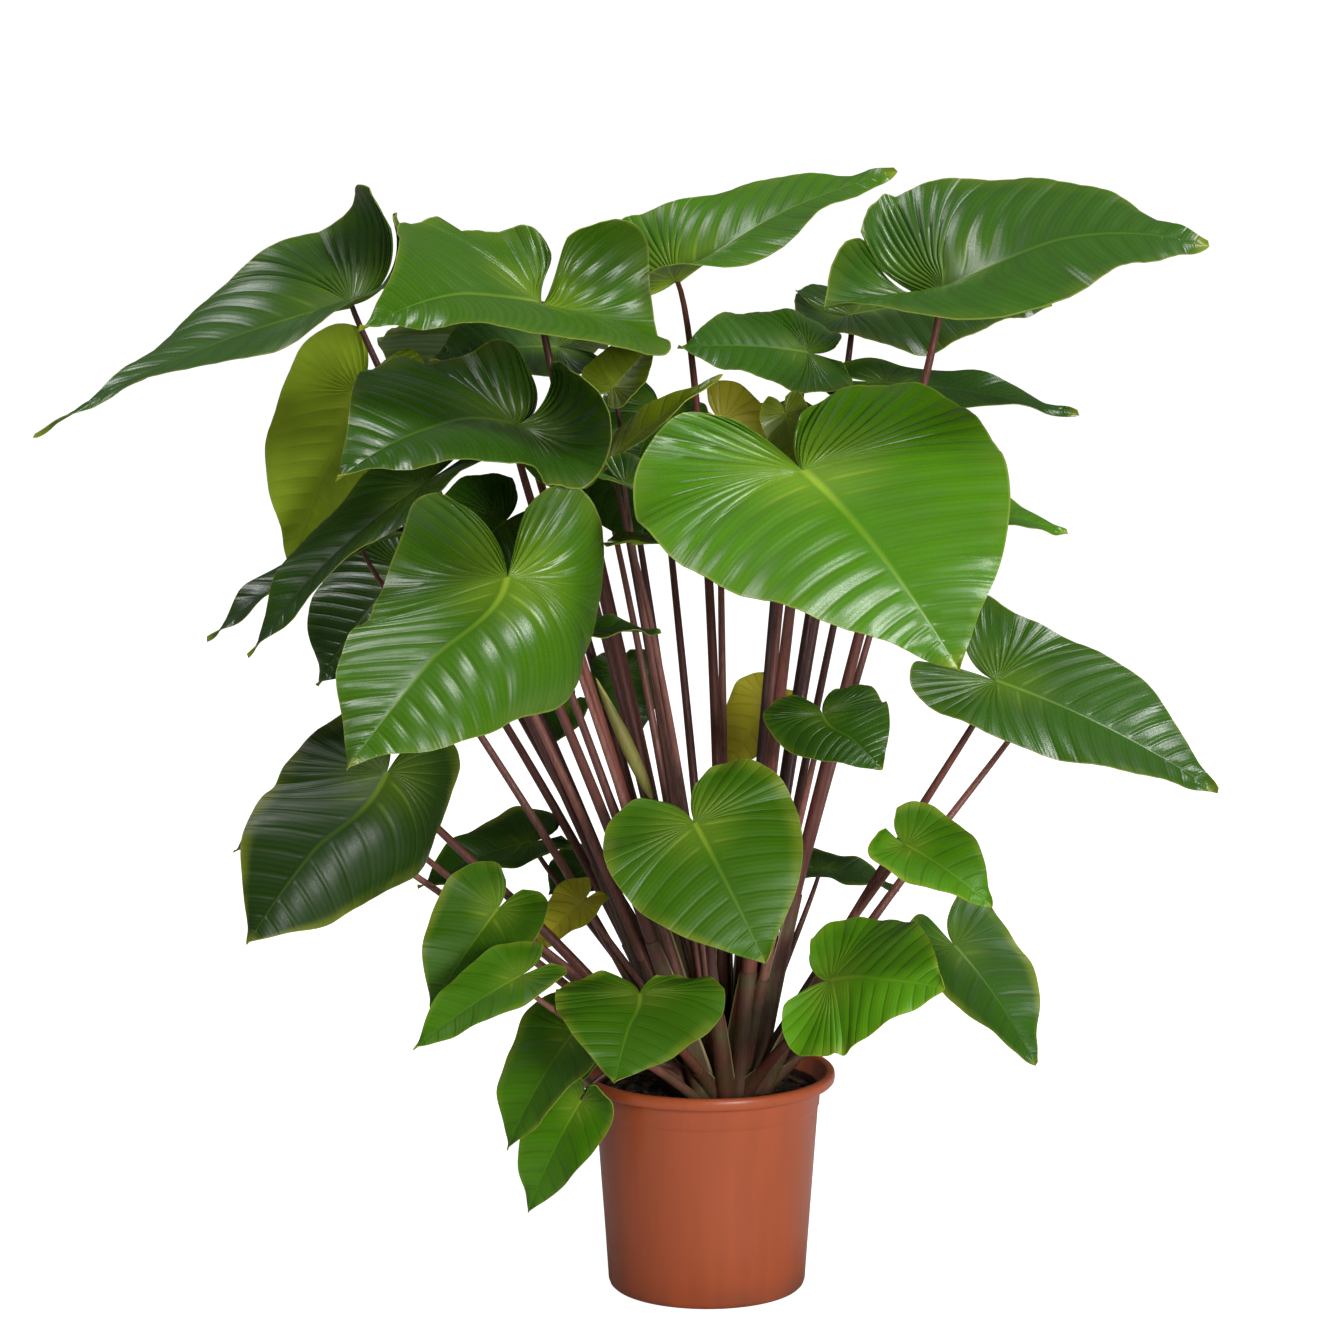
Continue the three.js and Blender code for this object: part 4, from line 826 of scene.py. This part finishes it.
for name, value in (("Vein", product(veins, main, side_start)),
                    ("Rib", product(veins, fine, side_start)),
                    ("Midrib", ramped(veins, out, 0.04, 0.006)),
                    ("Margin", ramped(veins, out, 0.982, 0.995)),
                    ("Rim", ramped(veins, out, 0.78, 1.0)),
                    ("Heart", ramped(veins, reach.outputs["Value"], 0.34, 0.0)),
                    ("Tip", ramped(veins, flat["Y"], 0.92, 1.0))):
    veins.links.new(value, veins_out.inputs[name])


def blade_material(name, colour, line_colour, vein_share, groove_painted_shade, ageing, roughness, sunken):
    """A side of a blade: painted light and shade for the whole leaf, patches, painted shade in the
    grooves, paler veins, heart and margin, aged rim and tip.
    """
    material, tree, shader, place = new_material(name)
    patches, _, grain = surface_marks(tree, place, 16, 90, 900)
    own = own_value(tree, "blade")
    net = add_node(tree, "ShaderNodeGroup", {}, node_tree=veins)
    for socket, value in (("Blade", own), ("Flat", own_value(tree, "flat")), ("Uneven", patches)):
        tree.links.new(value, net.inputs[socket])
    mask = net.outputs
    line = linear(line_colour)
    # The third value of the blade's own attribute sets its colour between a darker and a lighter
    # copy: partly the leaf's own tone, partly painted light and shade.
    dark = [c * 0.4 for c in linear(colour)[:3]] + [1]
    light = [min(1, c * 1.3) for c in linear(colour)[:3]] + [1]
    face = blended(tree, split(tree, own)["Z"], dark, light)
    face = blended(tree, product(tree, patches, 0.3), face, dark)
    # Painted shade: the colour is darkened along the sunken vein grooves.
    face = blended(tree, product(tree, mask["Vein"], groove_painted_shade), face, dark)
    face = blended(tree, product(tree, mask["Heart"], 0.3), face, line)
    for part, share, near in (("Rib", 0.04, 0.05), ("Vein", vein_share, 0.5), ("Midrib", 0.2, 0.5)):
        strength = sums(tree, "MULTIPLY_ADD", mask["Heart"], near, share)
        face = blended(tree, product(tree, mask[part], strength), face, line)
    aged = product(tree, product(tree, mask["Rim"], patches), ageing)
    face = blended(tree, aged, face, linear(TIP_COLOUR))
    face = blended(tree, product(tree, mask["Margin"], 0.35), face, linear(MARGIN_COLOUR))
    face = blended(tree, product(tree, mask["Tip"], 0.45), face, linear(TIP_COLOUR))
    dull = ramped(tree, sums(tree, "ADD", patches, grain), 0, 2, roughness, roughness + 0.14)
    lines = sums(tree, "ADD", mask["Vein"], product(tree, mask["Rib"], 0.15))
    relief = sums(tree, "ADD", product(tree, lines, -1 if sunken else 1),
                  product(tree, grain, 0.1))
    calm = sums(tree, "SUBTRACT", 1, mask["Tip"])
    finished(tree, shader, face, dull, product(tree, relief, calm), 0.45, 0.0009)
    shader.inputs["Specular IOR Level"].default_value = 0.65 - roughness
    return material


blade_materials = {
    tone: (blade_material(f"{tone}_blade_face", face, line, 0.02, 0.3, 0.1, 0.24, True),
           blade_material(f"{tone}_blade_dull", face, line, 0.02, 0.3, 0.45, 0.34, True),
           blade_material(f"{tone}_blade_back", back, line, 0.35, 0, 0.3, 0.5, False))
    for tone, (face, back, line) in BLADE_TONES.items()
}

for leaf in LEAVES:
    bent = blade_surface(leaf)
    large = leaf["width"] > LARGE_WIDTH
    high = leaf["joint"][2] > HIGH_JOINT
    size = ("high" if high else "low") if large else "small"
    side_veins, columns = VEINS_AND_COLUMNS[size]
    rows = side_veins * FACETS_A_VEIN
    quilt = (HIGH_QUILT if high else LOW_QUILT) * leaf["width"]
    points, offsets, values, flats, places = [], [], [], [], {}
    # The leaf's place between its darker and lighter colour. Leaves not listed get a random tone,
    # and listed values also hold painted light and shade.
    tint = BLADE_TONE_AND_PAINTED_LIGHT.get(leaf["name"], 0.3 + 0.3 * dice.random())
    triangles = []
    for half in (1, -1):
        grid = []
        for row in range(rows + 1):
            line = []
            for k in range(columns + 1):
                column = (k / columns) ** 1.25
                x, y = flat_point(row / rows, column)
                key = (round(half * x * 1e5), round(y * 1e5))
                if key not in places:
                    places[key] = len(points)
                    points.append(bent(half * x, y, row / rows, column))
                    ridge = abs(math.sin(math.pi * row / FACETS_A_VEIN)) ** 0.8 - 0.5
                    offsets.append((quilt * ridge * smooth(column, 0, 0.3)
                                    * (1 - 0.7 * smooth(column, 0.8, 1))
                                    * (1 - smooth(y, 0.8, 0.97)),
                                    KEEL_HEIGHT * math.exp(-(x / KEEL_WIDTH) ** 2)
                                    * (1 - max(0, y)) ** 0.7
                                    * smooth(column, 1, 0.7) * (1 if y >= 0 else 0)))
                    values.append((half * column, row / FACETS_A_VEIN, tint))
                    flats.append((half * x, y, 0))
                line.append(places[key])
            grid.append(line)
        for row in range(rows):
            for k in range(columns):
                a, b = grid[row][k], grid[row][k + 1]
                c, d = grid[row + 1][k + 1], grid[row + 1][k]
                for one in ((a, b, c), (a, c, d)):
                    if len(set(one)) == 3:
                        triangles.append(one if half > 0 else one[::-1])
    normals = [Vector() for _ in points]
    edges = {}
    for a, b, c in triangles:
        normal = (points[b] - points[a]).cross(points[c] - points[a])
        for p in (a, b, c):
            normals[p] += normal
        for edge in ((a, b), (b, c), (c, a)):
            edges[edge] = True
    upper, lower = [], []
    for point, normal, (lift, keel) in zip(points, normals, offsets):
        normal.normalize()
        upper.append((point + normal * (lift + BLADE_THICKNESS / 2)) / MM_IN_METRE)
        lower.append((point + normal * (lift - BLADE_THICKNESS / 2 - keel)) / MM_IN_METRE)
    held_inside(upper + lower, *cad_box)
    n = len(points)
    faces = triangles + [(a + n, c + n, b + n) for a, b, c in triangles]
    faces += [(p, p + n, q + n, q) for p, q in edges if (q, p) not in edges]
    blade = built("blade_" + leaf["name"], upper + lower, faces)
    painted(blade, "blade", values * 2)
    painted(blade, "flat", flats * 2)
    glossy, dull, back = blade_materials[leaf.get("tone", "deep")]
    blade.data.materials.append(glossy if high else dull)
    blade.data.materials.append(back)
    for face in blade.data.polygons:
        face.material_index = 0 if face.index < len(triangles) else 1
    bpy.ops.object.shade_smooth_by_angle(angle=math.radians(60))
    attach(blade, "root")
    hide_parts("leaf_" + leaf["name"])

# The youngest leaf: still rolled round itself into a spindle, yellow-green with a brown
# flush, its free edge a low step that winds once round it.
YOUNG_COLOUR = "#bdb65c"
YOUNG_FLUSH_COLOUR = "#6f6a30"
YOUNG_STREAK_COLOUR = "#5c5a28"
YOUNG_TIP = (-110, -25, 622)
YOUNG_RADIUS = 7.5
YOUNG_RINGS = 47
YOUNG_SIDES = 40

joint, tip = Vector(YOUNG_STALK["joint"]), Vector(YOUNG_TIP)
axis = tip - joint
upright = axis.normalized()
first = upright.cross(Vector((0, 1, 0))).normalized()
second = upright.cross(first)
points = [joint / MM_IN_METRE]
values = [(0, 0, 0)]
quads = []
for ring in range(1, YOUNG_RINGS + 1):
    t = ring / (YOUNG_RINGS + 1)
    swell = YOUNG_RADIUS * math.sin(math.pi * t ** 0.75) ** 0.7
    for k in range(YOUNG_SIDES):
        wound = (k / YOUNG_SIDES + 0.8 * t) % 1
        thickness = swell * (0.86 + 0.12 * wound)
        angle = math.tau * k / YOUNG_SIDES
        points.append((joint + axis * t + first * thickness * math.cos(angle)
                       + second * thickness * math.sin(angle)) / MM_IN_METRE)
        values.append((wound, t, 0))
points.append(tip / MM_IN_METRE)
values.append((0, 1, 0))
for k in range(YOUNG_SIDES):
    j = (k + 1) % YOUNG_SIDES
    quads.append((0, 1 + j, 1 + k))
    for ring in range(YOUNG_RINGS - 1):
        a = 1 + ring * YOUNG_SIDES
        b = a + YOUNG_SIDES
        quads.append((a + k, a + j, b + j, b + k))
    quads.append((b + k, b + j, len(points) - 1))
young = built("rolled_young_leaf", points, quads)
painted(young, "roll", values)
bpy.ops.object.mode_set(mode="EDIT")
bpy.ops.mesh.select_all(action="SELECT")
bpy.ops.mesh.normals_make_consistent(inside=False)
bpy.ops.object.mode_set(mode="OBJECT")
bpy.ops.object.shade_smooth_by_angle(angle=math.radians(35))

material, tree, shader, place = new_material("rolled_blade", 0.45)
patches, streaks, grain = surface_marks(tree, place, 60, 300, 1400)
flush = product(tree, split(tree, own_value(tree, "roll"))["X"], 0.8)
skin = blended(tree, flush, linear(YOUNG_COLOUR), linear(YOUNG_FLUSH_COLOUR))
skin = blended(tree, product(tree, streaks, 0.35), skin, linear(YOUNG_STREAK_COLOUR))
finished(tree, shader, skin, ramped(tree, patches, 0, 1, 0.35, 0.5),
         sums(tree, "ADD", streaks, grain), 0.3, 0.0005)
young.data.materials.append(material)
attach(young, "root")
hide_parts("young_leaf")

# The studio: a pale floor, a white surround, a big soft light above on each side of the plant
# and one in front on the right.
WHITE = (1, 1, 1, 1)
FLOOR_COLOUR = (0.6, 0.6, 0.6, 1)
LIT_POINT = Vector((0, 0, 0.6))

bpy.ops.object.select_all(action="DESELECT")
bpy.ops.mesh.primitive_plane_add(size=60, location=(0, 0, -0.0005))
floor = bpy.context.object
floor.name = "studio_floor"
material, tree, shader, _ = new_material("pale_floor", 0.85)
shader.inputs["Base Color"].default_value = FLOOR_COLOUR
shader.inputs["Emission Color"].default_value = WHITE
seen = add_node(tree, "ShaderNodeLightPath", {}).outputs["Is Camera Ray"]
tree.links.new(seen, shader.inputs["Emission Strength"])
floor.data.materials.append(material)

world = bpy.data.worlds.new("white_surround")
bpy.context.scene.world = world
world.use_nodes = True
tree = world.node_tree
background = tree.nodes["Background"]
background.inputs["Color"].default_value = WHITE
seen = add_node(tree, "ShaderNodeLightPath", {}).outputs["Is Camera Ray"]
tree.links.new(ramped(tree, seen, 0, 1, 0.13, 1.1), background.inputs["Strength"])
bpy.context.scene.view_settings.view_transform = "Standard"
for name, place, size, power in (("right_softbox", (1.9, -0.6, 4.4), 1.3, 120),
                                 ("left_softbox", (-2.5, 1.0, 4.6), 1.3, 70),
                                 ("front_softbox", (2.0, -4.4, 1.6), 1.2, 135)):
    bpy.ops.object.light_add(type="AREA", location=place)
    light = bpy.context.object
    light.name = name
    light.data.size = size
    light.data.energy = power
    aim = LIT_POINT - light.location
    light.rotation_euler = aim.to_track_quat("-Z", "Y").to_euler()

# The camera: four and a half metres in front of the pot, a little above the plant and looking
# down at it through a long lens.
CAMERA_PLACE = (-0.035, -4.5, 1.364)
CAMERA_TILT = math.radians(90 - 9.35)

bpy.ops.object.camera_add(location=CAMERA_PLACE, rotation=(CAMERA_TILT, 0, 0))
camera = bpy.context.object
camera.name = "camera"
camera.data.sensor_width = 36
camera.data.lens = 123.9
camera.data.clip_end = 200
bpy.context.scene.camera = camera
